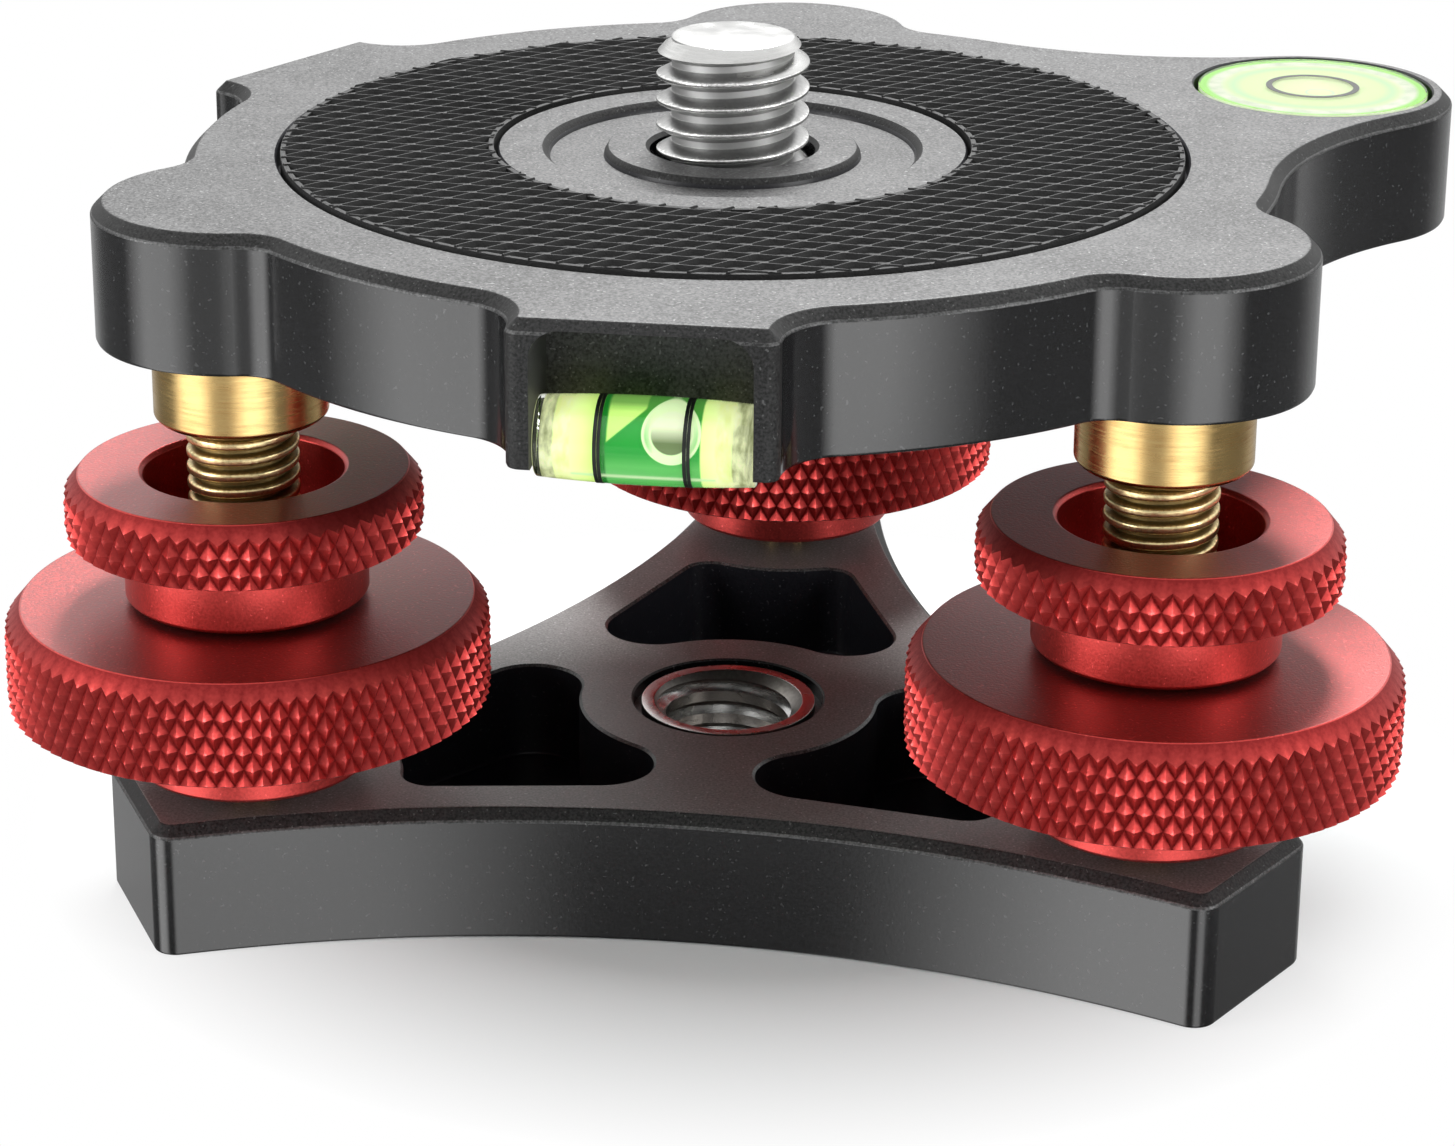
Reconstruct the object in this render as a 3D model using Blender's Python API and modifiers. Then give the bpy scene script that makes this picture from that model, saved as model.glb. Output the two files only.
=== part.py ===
"""Tripod leveling head: a base with three height dials carries a tilting top plate with three vials.

Run with: blender --background --python part.py
Lengths are in metres, angles in radians, and +Z is up. Every piece is drawn about the head's own
upright axis, and the whole is then moved so that the middle of its footprint stands on the origin.
"""

import math

import bmesh
import bpy
from mathutils import Matrix, Vector

MM = 0.001

# Fits shared by several pieces
CLEARANCE = 0.30 * MM
CUT_OVERRUN = 1.0 * MM
MERGE_DISTANCE = 0.001 * MM
FACET_SAG = 0.08 * MM
COARSEST_STEP = math.radians(30)
SHARP_ANGLE = math.radians(30)

# The three legs
LEG_CIRCLE_RADIUS = 31.80 * MM
LEG_AZIMUTHS = {"left": math.radians(210), "right": math.radians(330), "back": math.radians(90)}
LEG_TRAVEL = 3.0 * MM
FOOT_GAP = 1.25 * MM

# Base plate
BASE_THICKNESS = 8.5 * MM
BASE_WAIST_SHARE = 0.5786
BASE_ARM_HALF_WIDTH = 7.28 * MM
BASE_ARM_END = 7.9 * MM
BASE_CORNER_RADIUS = 1.5 * MM
BASE_CHAMFER = 0.7 * MM
POCKET_DEPTH = 6.5 * MM
POCKET_BUSHING_RIB = 3.5 * MM
POCKET_BULB_RADIUS = 3.3 * MM
POCKET_BULB_OFFSET = 6.5 * MM
POCKET_CORNER_RADIUS = 1.9 * MM
POCKET_CORNER_OFFSET = 4.1 * MM
POCKET_OUTER_RADIUS = 9.2 * MM

# Tripod bushing in the middle of the base
BUSHING_FLANGE_RADIUS = 5.66 * MM
BUSHING_FLANGE_THICKNESS = 0.72 * MM
BUSHING_BODY_RADIUS = 5.1 * MM
BUSHING_BORE_RADIUS = 4.0 * MM
BUSHING_CONE_RADIUS = 4.85 * MM
BUSHING_CONE_DEPTH = 0.9 * MM
BUSHING_SINK = 0.18 * MM
BUSHING_COUNTERBORE_RADIUS = 6.2 * MM

# Ball pivot under each dial
SOCKET_WEB = 0.9 * MM
PIVOT_BALL_RADIUS = 3.2 * MM
PIVOT_BALL_PLAY = 0.5 * MM
PIVOT_NECK_RADIUS = 1.9 * MM
PIVOT_NECK_SWING = 1.3 * MM
SEAT_WALL = 0.8 * MM
SEAT_HALF_HEIGHT = 2.2 * MM
SEAT_SWING = 0.5 * MM
CAP_SINK = 0.3 * MM
CAP_RIM_WIDTH = 1.2 * MM
PIN_FLANGE_RADIUS = 3.4 * MM
PIN_FLANGE_THICKNESS = 0.6 * MM
PIN_SHANK_RADIUS = 2.2 * MM
PIN_GROOVE_DEPTH = 0.5 * MM
PIN_TIP_HEIGHT = 0.4 * MM
CLIP_THICKNESS = 0.45 * MM

# Height dial
DIAL_RADIUS = 14.77 * MM
DIAL_BAND_HEIGHT = 5.5 * MM
DIAL_CROWN_WIDTH = 1.0 * MM
DIAL_CROWN_HEIGHT = 0.57 * MM
DIAL_EDGE_CHAMFER = 0.25 * MM
DIAL_HUB_RADIUS = 7.4 * MM
DIAL_HUB_HEIGHT = 4.35 * MM
DIAL_FLANGE_RECESS = 0.7 * MM
DIAL_WEB_THICKNESS = 1.0 * MM

# Lock ring
RING_RADIUS = 10.85 * MM
RING_BAND_HEIGHT = 3.3 * MM
RING_CROWN_WIDTH = 0.9 * MM
RING_CROWN_HEIGHT = 0.4 * MM
RING_EDGE_CHAMFER = 0.25 * MM
RING_NECK_RADIUS = 7.4 * MM
RING_NECK_HEIGHT = 4.05 * MM
RING_COUNTERBORE_RADIUS = 6.05 * MM
RING_THREADED_LENGTH = 3.8 * MM
RING_TO_BOSS = 3.36 * MM

# Leveling stud and the boss that holds it
STUD_RADIUS = 3.4 * MM
STUD_CHAMFER = 0.5 * MM
BOSS_RADIUS = 5.25 * MM
BOSS_HEIGHT = 5.1 * MM
BOSS_CHAMFER = 0.45 * MM
BOSS_SPIGOT_RADIUS = 4.6 * MM
BOSS_SPIGOT_LENGTH = 5.1 * MM
BOSS_CROWN_WALL = 1.0 * MM

# Top plate outline, at the foot of its chamfer
PLATE_THICKNESS = 8.5 * MM
PLATE_CHAMFER = 0.7 * MM
PLATE_BEYOND_LEGS = 2.0 * MM
LEG_LOBE_RADIUS = 8.45 * MM
LEG_LOBE_BLEND = 2.8 * MM
BULLSEYE_LOBE_WALL = 1.3 * MM
BULLSEYE_BLEND_SHARE = 0.74
BULLSEYE_TO_PAD = 5.5 * MM
BULLSEYE_AZIMUTH = math.radians(30)
VIAL_BOSS_AZIMUTHS = {"front": math.radians(270), "side": math.radians(152.3)}
VIAL_BOSS_STEP = 3.1 * MM
VIAL_BOSS_HALF_WIDTH = 7.45 * MM
VIAL_BOSS_CORNER = 0.8 * MM
VIAL_BOSS_BLEND = 1.5 * MM

# Pad, its recess and the island in the middle of the plate
PAD_RIM_WIDTH = 5.65 * MM
PAD_RECESS_DEPTH = 1.5 * MM
PAD_STAND_PROUD = 0.35 * MM
ISLAND_RADIUS = 14.55 * MM
ISLAND_STEP_RADIUS = 11.8 * MM
ISLAND_STEP_DEPTH = 0.6 * MM
ISLAND_STEP_RUN = 0.5 * MM
COLLAR_RADIUS = 8.0 * MM
COLLAR_TAPER = 0.25 * MM
COLLAR_HEIGHT = 0.6 * MM
SCREW_HOLE_RADIUS = 5.15 * MM

# Mounting screw, 3/8 in, and its retaining ring
SCREW_RADIUS = 4.74 * MM
SCREW_PROJECTION = 7.0 * MM
SCREW_TIP_RADIUS = 3.77 * MM
SCREW_TIP_HEIGHT = 1.1 * MM
SCREW_HEAD_RADIUS = 8.0 * MM
SCREW_HEAD_THICKNESS = 2.3 * MM
SCREW_SOCKET_APOTHEM = 3.175 * MM
SCREW_SOCKET_DEPTH = 3.6 * MM
SNAP_RING_THICKNESS = 0.4 * MM
SNAP_RING_WIDTH = 1.4 * MM
SNAP_RING_LIP = 0.4 * MM
SNAP_RING_GROOVE_DEPTH = 0.6 * MM
SNAP_RING_MOUTH = 3.0 * MM

# Tube vials
VIAL_RADIUS = 2.45 * MM
VIAL_END_RADIUS = 2.2 * MM
VIAL_AXIS_HEIGHT = 1.2 * MM
VIAL_POCKET_HALF_WIDTH = 6.05 * MM
VIAL_POCKET_ROOF = 0.55 * MM
VIAL_POCKET_CORNER = 1.6 * MM
VIAL_FRONT_SETBACK = 0.15 * MM
VIAL_WALL = 0.6 * MM
VIAL_END_WALL = 1.2 * MM
VIAL_PLUG_LENGTH = 1.2 * MM
VIAL_CROWN_SHARES = (1.0, 0.6, 0.2, -0.2, -0.6, -1.0)

# Bullseye vial
LENS_RADIUS = 7.5 * MM
LENS_HEIGHT = 4.8 * MM
LENS_WALL = 1.2 * MM
LENS_TOP_WALL = 1.4 * MM
LENS_BACKING_THICKNESS = 0.9 * MM

# Radii and reaches that follow from the sizes above
BASE_WAIST = BASE_WAIST_SHARE * LEG_CIRCLE_RADIUS
BASE_ARM_REACH = LEG_CIRCLE_RADIUS + BASE_ARM_END
POCKET_INNER_RADIUS = BUSHING_COUNTERBORE_RADIUS + POCKET_BUSHING_RIB
PLATE_BODY_RADIUS = LEG_CIRCLE_RADIUS + PLATE_BEYOND_LEGS
PAD_RECESS_RADIUS = PLATE_BODY_RADIUS - PAD_RIM_WIDTH
LENS_BORE_RADIUS = LENS_RADIUS + CLEARANCE
BULLSEYE_LOBE_RADIUS = LENS_BORE_RADIUS + BULLSEYE_LOBE_WALL
BULLSEYE_LOBE_BLEND = BULLSEYE_BLEND_SHARE * PLATE_BODY_RADIUS
BULLSEYE_CIRCLE_RADIUS = PAD_RECESS_RADIUS + BULLSEYE_TO_PAD + LENS_BORE_RADIUS
VIAL_BOSS_REACH = PLATE_BODY_RADIUS + VIAL_BOSS_STEP

# Heights that follow from the sizes above
SOCKET_CEILING = BASE_THICKNESS - SOCKET_WEB
PIVOT_HEIGHT = SOCKET_CEILING - SEAT_SWING - SEAT_HALF_HEIGHT
FOOT_HEIGHT = BASE_THICKNESS + FOOT_GAP
DIAL_RIM_HEIGHT = FOOT_HEIGHT + DIAL_HUB_HEIGHT
DIAL_BAND_BOTTOM = DIAL_RIM_HEIGHT + DIAL_EDGE_CHAMFER
DIAL_BAND_TOP = DIAL_BAND_BOTTOM + DIAL_BAND_HEIGHT
DIAL_TOP = DIAL_BAND_TOP + DIAL_CROWN_HEIGHT
DIAL_WEB_BOTTOM = FOOT_HEIGHT + DIAL_FLANGE_RECESS
DIAL_WEB_TOP = DIAL_WEB_BOTTOM + DIAL_WEB_THICKNESS
RING_BOTTOM = DIAL_TOP + CLEARANCE
RING_RIM_HEIGHT = RING_BOTTOM + RING_NECK_HEIGHT
RING_BAND_BOTTOM = RING_RIM_HEIGHT + RING_EDGE_CHAMFER
RING_BAND_TOP = RING_BAND_BOTTOM + RING_BAND_HEIGHT
RING_TOP = RING_BAND_TOP + RING_CROWN_HEIGHT
BOSS_BOTTOM = RING_TOP + RING_TO_BOSS
PLATE_BOTTOM = BOSS_BOTTOM + BOSS_HEIGHT
PLATE_TOP = PLATE_BOTTOM + PLATE_THICKNESS
CLIP_BOTTOM = DIAL_WEB_TOP + CLEARANCE
CLIP_TOP = CLIP_BOTTOM + CLIP_THICKNESS
PIN_TOP = CLIP_TOP + CLEARANCE + PIN_TIP_HEIGHT
STUD_BOTTOM = PIN_TOP + CLEARANCE + LEG_TRAVEL
STUD_TOP = PLATE_BOTTOM - CLEARANCE + BOSS_SPIGOT_LENGTH - BOSS_CROWN_WALL - CLEARANCE
STUD_BORE_RADIUS = STUD_RADIUS + CLEARANCE
SEAT_INNER_RADIUS = PIVOT_BALL_RADIUS + PIVOT_BALL_PLAY
SEAT_OUTER_RADIUS = SEAT_INNER_RADIUS + SEAT_WALL
SOCKET_RADIUS = SEAT_OUTER_RADIUS + CLEARANCE
SCREW_GROOVE_BOTTOM = PLATE_BOTTOM + SNAP_RING_LIP
SCREW_GROOVE_TOP = SCREW_GROOVE_BOTTOM + SNAP_RING_THICKNESS + 2 * CLEARANCE
SCREW_HEAD_TOP = SCREW_GROOVE_TOP + SCREW_HEAD_THICKNESS

# Colours, with roughness and metallic value
RED_ANODISED = ((0.45, 0.018, 0.012), 0.38, 0.9)
BLACK_ANODISED = ((0.035, 0.035, 0.038), 0.45, 0.6)
BRIGHT_BRASS = ((0.78, 0.52, 0.20), 0.28, 1.0)
OLIVE_BRASS = ((0.42, 0.34, 0.17), 0.35, 1.0)
BRIGHT_STEEL = ((0.72, 0.72, 0.70), 0.22, 1.0)
SPRING_STEEL = ((0.30, 0.30, 0.31), 0.35, 1.0)
BLACK_RUBBER = ((0.018, 0.018, 0.019), 0.75, 0.0)
WHITE_ACETAL = ((0.80, 0.80, 0.76), 0.40, 0.0)
CLEAR_ACRYLIC = ((0.86, 0.92, 0.84), 0.05, 0.0)
VIAL_FLUID = ((0.62, 0.90, 0.10), 0.05, 0.0)


def point_at(radius, azimuth):
    """The point at a radius and an azimuth about the head's axis."""
    return Vector((radius * math.cos(azimuth), radius * math.sin(azimuth)))


def material(name, finish):
    """A plain material for one piece."""
    colour, roughness, metallic = finish
    made = bpy.data.materials.new(name)
    made.use_nodes = True
    shader = made.node_tree.nodes["Principled BSDF"]
    shader.inputs["Base Color"].default_value = (*colour, 1.0)
    shader.inputs["Roughness"].default_value = roughness
    shader.inputs["Metallic"].default_value = metallic
    return made


def arc_steps(sweep, radius):
    """How many flat facets an arc needs to stay within the allowed sag."""
    widest = 2 * math.acos(max(0.0, 1 - FACET_SAG / radius))
    return max(1, math.ceil(sweep / min(widest, COARSEST_STEP)))


def belt(circles):
    """Points of the closed outline that runs round circles, each (centre, radius, turn).

    Turn is +1 where the outline bulges round the circle and -1 where it hollows against it.
    A radius of zero makes a sharp corner. Straight common tangents join each circle to the next,
    and shrink to a point where two circles touch.
    """
    normals = []
    for index, (centre, radius, turn) in enumerate(circles):
        next_centre, next_radius, next_turn = circles[(index + 1) % len(circles)]
        line = next_centre - centre
        lean = (turn * radius - next_turn * next_radius) / line.length
        normals.append(math.atan2(line.y, line.x) - math.acos(max(-1.0, min(1.0, lean))))
    points = []
    for index, (centre, radius, turn) in enumerate(circles):
        if not radius:
            points.append(centre)
            continue
        start = normals[index - 1]
        sweep = turn * (normals[index] - start) % math.tau
        steps = arc_steps(sweep, radius)
        for step in range(steps + 1):
            angle = start + turn * sweep * step / steps
            points.append(centre + turn * radius * Vector((math.cos(angle), math.sin(angle))))
    return points


def shade(mesh):
    """Smooth round faces, with their real corners kept sharp."""
    mesh.shade_smooth()
    mesh.set_sharp_from_angle(angle=SHARP_ANGLE)


def evaluated_mesh(drawn):
    """The mesh that a curve or a modifier makes, after which the object that drew it is removed."""
    bpy.context.scene.collection.objects.link(drawn)
    graph = bpy.context.evaluated_depsgraph_get()
    mesh = bpy.data.meshes.new_from_object(drawn.evaluated_get(graph))
    bpy.data.objects.remove(drawn)
    return mesh


def flat_piece(name, outline, bottom, top, chamfer=0):
    """A flat outline as a filled 2D curve, thickened by its extrude, with its top rim chamfered."""
    curve = bpy.data.curves.new(name, "CURVE")
    curve.dimensions = "2D"
    curve.fill_mode = "BOTH"
    curve.extrude = (top - bottom) / 2
    spline = curve.splines.new("POLY")
    spline.points.add(len(outline) - 1)
    for target, point in zip(spline.points, outline):
        target.co = (point.x, point.y, 0, 1)
    spline.use_cyclic_u = True
    mesh = evaluated_mesh(bpy.data.objects.new(name + "_outline", curve))
    solid = bmesh.new()
    solid.from_mesh(mesh)
    bmesh.ops.translate(solid, verts=solid.verts, vec=(0, 0, (top + bottom) / 2))
    bmesh.ops.remove_doubles(solid, verts=solid.verts, dist=MERGE_DISTANCE)
    level = [edge for edge in solid.edges if all(abs(side.normal.z) > 0.5 for side in edge.link_faces)]
    bmesh.ops.dissolve_edges(solid, edges=level)
    bmesh.ops.recalc_face_normals(solid, faces=solid.faces)
    if chamfer:
        rim = [
            edge for edge in solid.edges
            if all(abs(corner.co.z - top) < MERGE_DISTANCE for corner in edge.verts)
        ]
        bmesh.ops.bevel(solid, geom=rim, offset=chamfer, segments=1, affect="EDGES")
    solid.to_mesh(mesh)
    solid.free()
    shade(mesh)
    return bpy.data.objects.new(name, mesh)


def turned_piece(name, profile):
    """A turned shape: a profile of (radius, height) points, given down its outer side, on a Screw.

    A profile whose ends both lie on the axis is a solid; any other is closed into a ring.
    """
    mesh = bpy.data.meshes.new(name)
    points = [(radius, 0, height) for radius, height in profile]
    edges = [(index, index + 1) for index in range(len(points) - 1)]
    if profile[0][0] > 0 or profile[-1][0] > 0:
        edges.append((len(points) - 1, 0))
    mesh.from_pydata(points, edges, [])
    drawn = bpy.data.objects.new(name + "_profile", mesh)
    screw = drawn.modifiers.new("turn", "SCREW")
    # A multiple of four, so that the outer size is the full size along X and along Y
    quarter_turn = arc_steps(math.tau / 4, max(radius for radius, _ in profile))
    screw.steps = 4 * quarter_turn
    screw.render_steps = screw.steps
    screw.use_merge_vertices = True
    screw.merge_threshold = MERGE_DISTANCE
    turned = evaluated_mesh(drawn)
    shade(turned)
    return bpy.data.objects.new(name, turned)


def cylinder(name, radius, bottom, top, sides=0):
    """An upright cylinder, or a prism where its number of sides is given."""
    solid = bmesh.new()
    bmesh.ops.create_cone(
        solid,
        cap_ends=True,
        segments=sides or 4 * arc_steps(math.tau / 4, radius),
        radius1=radius,
        radius2=radius,
        depth=top - bottom,
        matrix=Matrix.Translation((0, 0, (top + bottom) / 2)),
    )
    mesh = bpy.data.meshes.new(name)
    solid.to_mesh(mesh)
    solid.free()
    shade(mesh)
    return bpy.data.objects.new(name, mesh)


def arc_profile(radius, start_height, end_height):
    """Points down a sphere's side, between two heights that are measured from its middle."""
    start = math.acos(start_height / radius)
    end = math.acos(end_height / radius)
    steps = arc_steps(end - start, radius)
    angles = [start + (end - start) * step / steps for step in range(steps + 1)]
    return [(radius * math.sin(angle), radius * math.cos(angle)) for angle in angles]


class Workshop:
    """Keeps the collections, and finishes, places and cuts the pieces."""

    def __init__(self):
        self.parts = bpy.data.collections.new("tripod_leveling_head")
        self.cutters = bpy.data.collections.new("cutters")
        bpy.context.scene.collection.children.link(self.parts)
        bpy.context.scene.collection.children.link(self.cutters)
        self.head_axis = self.empty("head_axis", Vector((*footprint_offset(), 0)), None)
        # The top plate leans on the line through the left and the right ball.
        balls = [point_at(LEG_CIRCLE_RADIUS, LEG_AZIMUTHS[leg]) for leg in ("left", "right")]
        middle = (balls[0] + balls[1]) / 2
        self.platform_axis = self.empty(
            "platform_axis", Vector((*middle, PIVOT_HEIGHT)), self.head_axis
        )

    def empty(self, name, place, carrier):
        """A bare axis that pieces hang on."""
        made = bpy.data.objects.new(name, None)
        made.parent = carrier
        made.location = place
        self.parts.objects.link(made)
        return made

    def keep(self, obj, finish, place=(0, 0), height=0, on_platform=False):
        """A finished piece with its own material, placed from the head's axis and the base's foot."""
        self.parts.objects.link(obj)
        obj.parent = self.head_axis
        obj.location = (*place, height)
        if on_platform:
            obj.parent = self.platform_axis
            obj.location -= self.platform_axis.location
        obj.data.materials.append(material(obj.name, finish))
        return obj

    def cut(self, obj, cutter, place=(0, 0), height=0, turn=(0, 0, 0)):
        """Cut one shape out of a piece, and keep the cutter as a guide."""
        self.cutters.objects.link(cutter)
        cutter.parent = self.head_axis
        cutter.location = (*place, height)
        cutter.rotation_euler = turn
        cutter.hide_render = True
        cutter.display_type = "WIRE"
        boolean = obj.modifiers.new("cut_" + cutter.name, "BOOLEAN")
        boolean.operation = "DIFFERENCE"
        boolean.solver = "EXACT"
        boolean.object = cutter


def footprint_offset():
    """How far the axis stands from the middle of the footprint, along X and Y."""
    dial_reach = LEG_CIRCLE_RADIUS * math.cos(math.radians(30)) + DIAL_RADIUS
    bullseye = point_at(BULLSEYE_CIRCLE_RADIUS, BULLSEYE_AZIMUTH)
    most_x = max(dial_reach, bullseye.x + BULLSEYE_LOBE_RADIUS)
    back_reach = LEG_CIRCLE_RADIUS + max(DIAL_RADIUS, LEG_LOBE_RADIUS)
    return ((dial_reach - most_x) / 2, (VIAL_BOSS_REACH - back_reach) / 2)


def base_outline():
    """Three hollow sides between three blunt arms."""
    # A hollow side passes the waist, halfway between two legs, and the arm's side at the leg.
    outwards = point_at(1, math.radians(60))
    at_leg = Vector((LEG_CIRCLE_RADIUS, BASE_ARM_HALF_WIDTH))
    beyond = at_leg.dot(outwards) - BASE_WAIST
    radius = ((at_leg - BASE_WAIST * outwards).length_squared) / (2 * beyond)
    middle = (BASE_WAIST + radius) * outwards
    # The corner circle touches the end of the arm and, from outside, the hollow side's circle.
    corner_along = BASE_ARM_REACH - BASE_CORNER_RADIUS
    reach = radius + BASE_CORNER_RADIUS
    across = middle.y - math.sqrt(reach ** 2 - (middle.x - corner_along) ** 2)
    circles = []
    for azimuth in sorted(LEG_AZIMUTHS.values()):
        turn = Matrix.Rotation(azimuth, 2)
        circles.append((turn @ Vector((corner_along, -across)), BASE_CORNER_RADIUS, 1))
        circles.append((turn @ Vector((corner_along, across)), BASE_CORNER_RADIUS, 1))
        circles.append((turn @ middle, radius, -1))
    return belt(circles)


def pocket_outline(azimuth):
    """One pocket: hollow towards the bushing and the leg, with a bulb at each inner corner."""
    bulb_reach = POCKET_INNER_RADIUS + POCKET_BULB_RADIUS
    bulb = Vector((math.sqrt(bulb_reach ** 2 - POCKET_BULB_OFFSET ** 2), POCKET_BULB_OFFSET))
    corner_reach = POCKET_OUTER_RADIUS + POCKET_CORNER_RADIUS
    corner_back = math.sqrt(corner_reach ** 2 - POCKET_CORNER_OFFSET ** 2)
    corner = Vector((LEG_CIRCLE_RADIUS - corner_back, POCKET_CORNER_OFFSET))
    leg = Vector((LEG_CIRCLE_RADIUS, 0))
    mirror = Vector((1, -1))
    turn = Matrix.Rotation(azimuth, 2)
    circles = [
        (bulb * mirror, POCKET_BULB_RADIUS, 1),
        (corner * mirror, POCKET_CORNER_RADIUS, 1),
        (leg, POCKET_OUTER_RADIUS, -1),
        (corner, POCKET_CORNER_RADIUS, 1),
        (bulb, POCKET_BULB_RADIUS, 1),
        (Vector((0, 0)), POCKET_INNER_RADIUS, -1),
    ]
    return belt([(turn @ centre, radius, side) for centre, radius, side in circles])


def make_base(shop):
    """The base plate with its pockets, bushing bore and three ball sockets."""
    base = flat_piece("base_plate", base_outline(), 0, BASE_THICKNESS, BASE_CHAMFER)
    shop.keep(base, BLACK_ANODISED)
    for leg, azimuth in LEG_AZIMUTHS.items():
        pocket = flat_piece(
            "pocket_" + leg,
            pocket_outline(azimuth),
            BASE_THICKNESS - POCKET_DEPTH,
            BASE_THICKNESS + CUT_OVERRUN,
        )
        shop.cut(base, pocket)
        place = point_at(LEG_CIRCLE_RADIUS, azimuth)
        mouth_radius = PIVOT_NECK_RADIUS + PIVOT_NECK_SWING
        shop.cut(base, turned_piece(
            "socket_" + leg,
            [
                (0, BASE_THICKNESS + CUT_OVERRUN),
                (mouth_radius, BASE_THICKNESS + CUT_OVERRUN),
                (mouth_radius, SOCKET_CEILING),
                (SOCKET_RADIUS, SOCKET_CEILING),
                (SOCKET_RADIUS, -CUT_OVERRUN),
                (0, -CUT_OVERRUN),
            ],
        ), place)
    flange_bottom = BASE_THICKNESS - BUSHING_SINK - BUSHING_FLANGE_THICKNESS
    bore = turned_piece(
        "bushing_bore",
        [
            (0, BASE_THICKNESS + CUT_OVERRUN),
            (BUSHING_COUNTERBORE_RADIUS, BASE_THICKNESS + CUT_OVERRUN),
            (BUSHING_COUNTERBORE_RADIUS, flange_bottom - CLEARANCE),
            (BUSHING_BODY_RADIUS + CLEARANCE, flange_bottom - CLEARANCE),
            (BUSHING_BODY_RADIUS + CLEARANCE, -CUT_OVERRUN),
            (0, -CUT_OVERRUN),
        ],
    )
    shop.cut(base, bore)


def make_bushing(shop):
    """The threaded insert that screws onto a tripod: flange, body, and a bore with a lead-in cone."""
    top = BASE_THICKNESS - BUSHING_SINK
    profile = [
        (BUSHING_CONE_RADIUS, top),
        (BUSHING_FLANGE_RADIUS, top),
        (BUSHING_FLANGE_RADIUS, top - BUSHING_FLANGE_THICKNESS),
        (BUSHING_BODY_RADIUS, top - BUSHING_FLANGE_THICKNESS),
        (BUSHING_BODY_RADIUS, BUSHING_SINK),
        (BUSHING_BORE_RADIUS, BUSHING_SINK),
        (BUSHING_BORE_RADIUS, top - BUSHING_CONE_DEPTH),
    ]
    shop.keep(turned_piece("tripod_bushing", profile), BRIGHT_STEEL)


def ball_seat(name):
    """A plastic ring, round inside and out, drawn about the middle of the ball that it holds."""
    outer = arc_profile(SEAT_OUTER_RADIUS, SEAT_HALF_HEIGHT, -SEAT_HALF_HEIGHT)
    inner = arc_profile(SEAT_INNER_RADIUS, SEAT_HALF_HEIGHT, -SEAT_HALF_HEIGHT)
    return turned_piece(name, outer + inner[::-1])


def socket_cap(name):
    """The threaded plug that closes a ball socket from below, with a rim under the seat."""
    radius = SOCKET_RADIUS - CLEARANCE
    floor = PIVOT_HEIGHT - PIVOT_BALL_RADIUS - CLEARANCE
    rim = PIVOT_HEIGHT - SEAT_HALF_HEIGHT - SEAT_SWING
    profile = [
        (0, floor),
        (radius - CAP_RIM_WIDTH, floor),
        (radius - CAP_RIM_WIDTH, rim),
        (radius, rim),
        (radius, CAP_SINK),
        (0, CAP_SINK),
    ]
    return turned_piece(name, profile)


def pivot_pin(name):
    """A ball with a neck, a flange that carries the dial, and a grooved shank through the dial."""
    neck_drop = math.sqrt(PIVOT_BALL_RADIUS ** 2 - PIVOT_NECK_RADIUS ** 2)
    flange_top = DIAL_WEB_BOTTOM - CLEARANCE
    flange_bottom = flange_top - PIN_FLANGE_THICKNESS
    groove_radius = PIN_SHANK_RADIUS - PIN_GROOVE_DEPTH
    ball = arc_profile(PIVOT_BALL_RADIUS, neck_drop, -PIVOT_BALL_RADIUS)
    profile = [
        (0, PIN_TOP),
        (PIN_SHANK_RADIUS, PIN_TOP),
        (PIN_SHANK_RADIUS, CLIP_TOP + CLEARANCE),
        (groove_radius, CLIP_TOP + CLEARANCE),
        (groove_radius, CLIP_BOTTOM - CLEARANCE),
        (PIN_SHANK_RADIUS, CLIP_BOTTOM - CLEARANCE),
        (PIN_SHANK_RADIUS, flange_top),
        (PIN_FLANGE_RADIUS, flange_top),
        (PIN_FLANGE_RADIUS, flange_bottom),
        (PIVOT_NECK_RADIUS, flange_bottom),
        *[(radius, PIVOT_HEIGHT + height) for radius, height in ball[:-1]],
        (0, PIVOT_HEIGHT - PIVOT_BALL_RADIUS),
    ]
    return turned_piece(name, profile)


def pin_clip(name):
    """The ring in the pin's groove that keeps the dial from lifting off."""
    inner = PIN_SHANK_RADIUS - PIN_GROOVE_DEPTH + CLEARANCE
    outer = STUD_BORE_RADIUS - CLEARANCE
    profile = [(inner, CLIP_TOP), (outer, CLIP_TOP), (outer, CLIP_BOTTOM), (inner, CLIP_BOTTOM)]
    return turned_piece(name, profile)


def height_dial(name):
    """The large wheel: a threaded nut with a wide rim above and a plain hub below."""
    recess_radius = PIN_FLANGE_RADIUS + CLEARANCE
    profile = [
        (STUD_BORE_RADIUS, DIAL_TOP),
        (DIAL_RADIUS - DIAL_CROWN_WIDTH, DIAL_TOP),
        (DIAL_RADIUS, DIAL_BAND_TOP),
        (DIAL_RADIUS, DIAL_BAND_BOTTOM),
        (DIAL_RADIUS - DIAL_EDGE_CHAMFER, DIAL_RIM_HEIGHT),
        (DIAL_HUB_RADIUS, DIAL_RIM_HEIGHT),
        (DIAL_HUB_RADIUS, FOOT_HEIGHT + DIAL_EDGE_CHAMFER),
        (DIAL_HUB_RADIUS - DIAL_EDGE_CHAMFER, FOOT_HEIGHT),
        (recess_radius, FOOT_HEIGHT),
        (recess_radius, DIAL_WEB_BOTTOM),
        (PIN_SHANK_RADIUS + CLEARANCE, DIAL_WEB_BOTTOM),
        (PIN_SHANK_RADIUS + CLEARANCE, DIAL_WEB_TOP),
        (STUD_BORE_RADIUS, DIAL_WEB_TOP),
    ]
    return turned_piece(name, profile)


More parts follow.
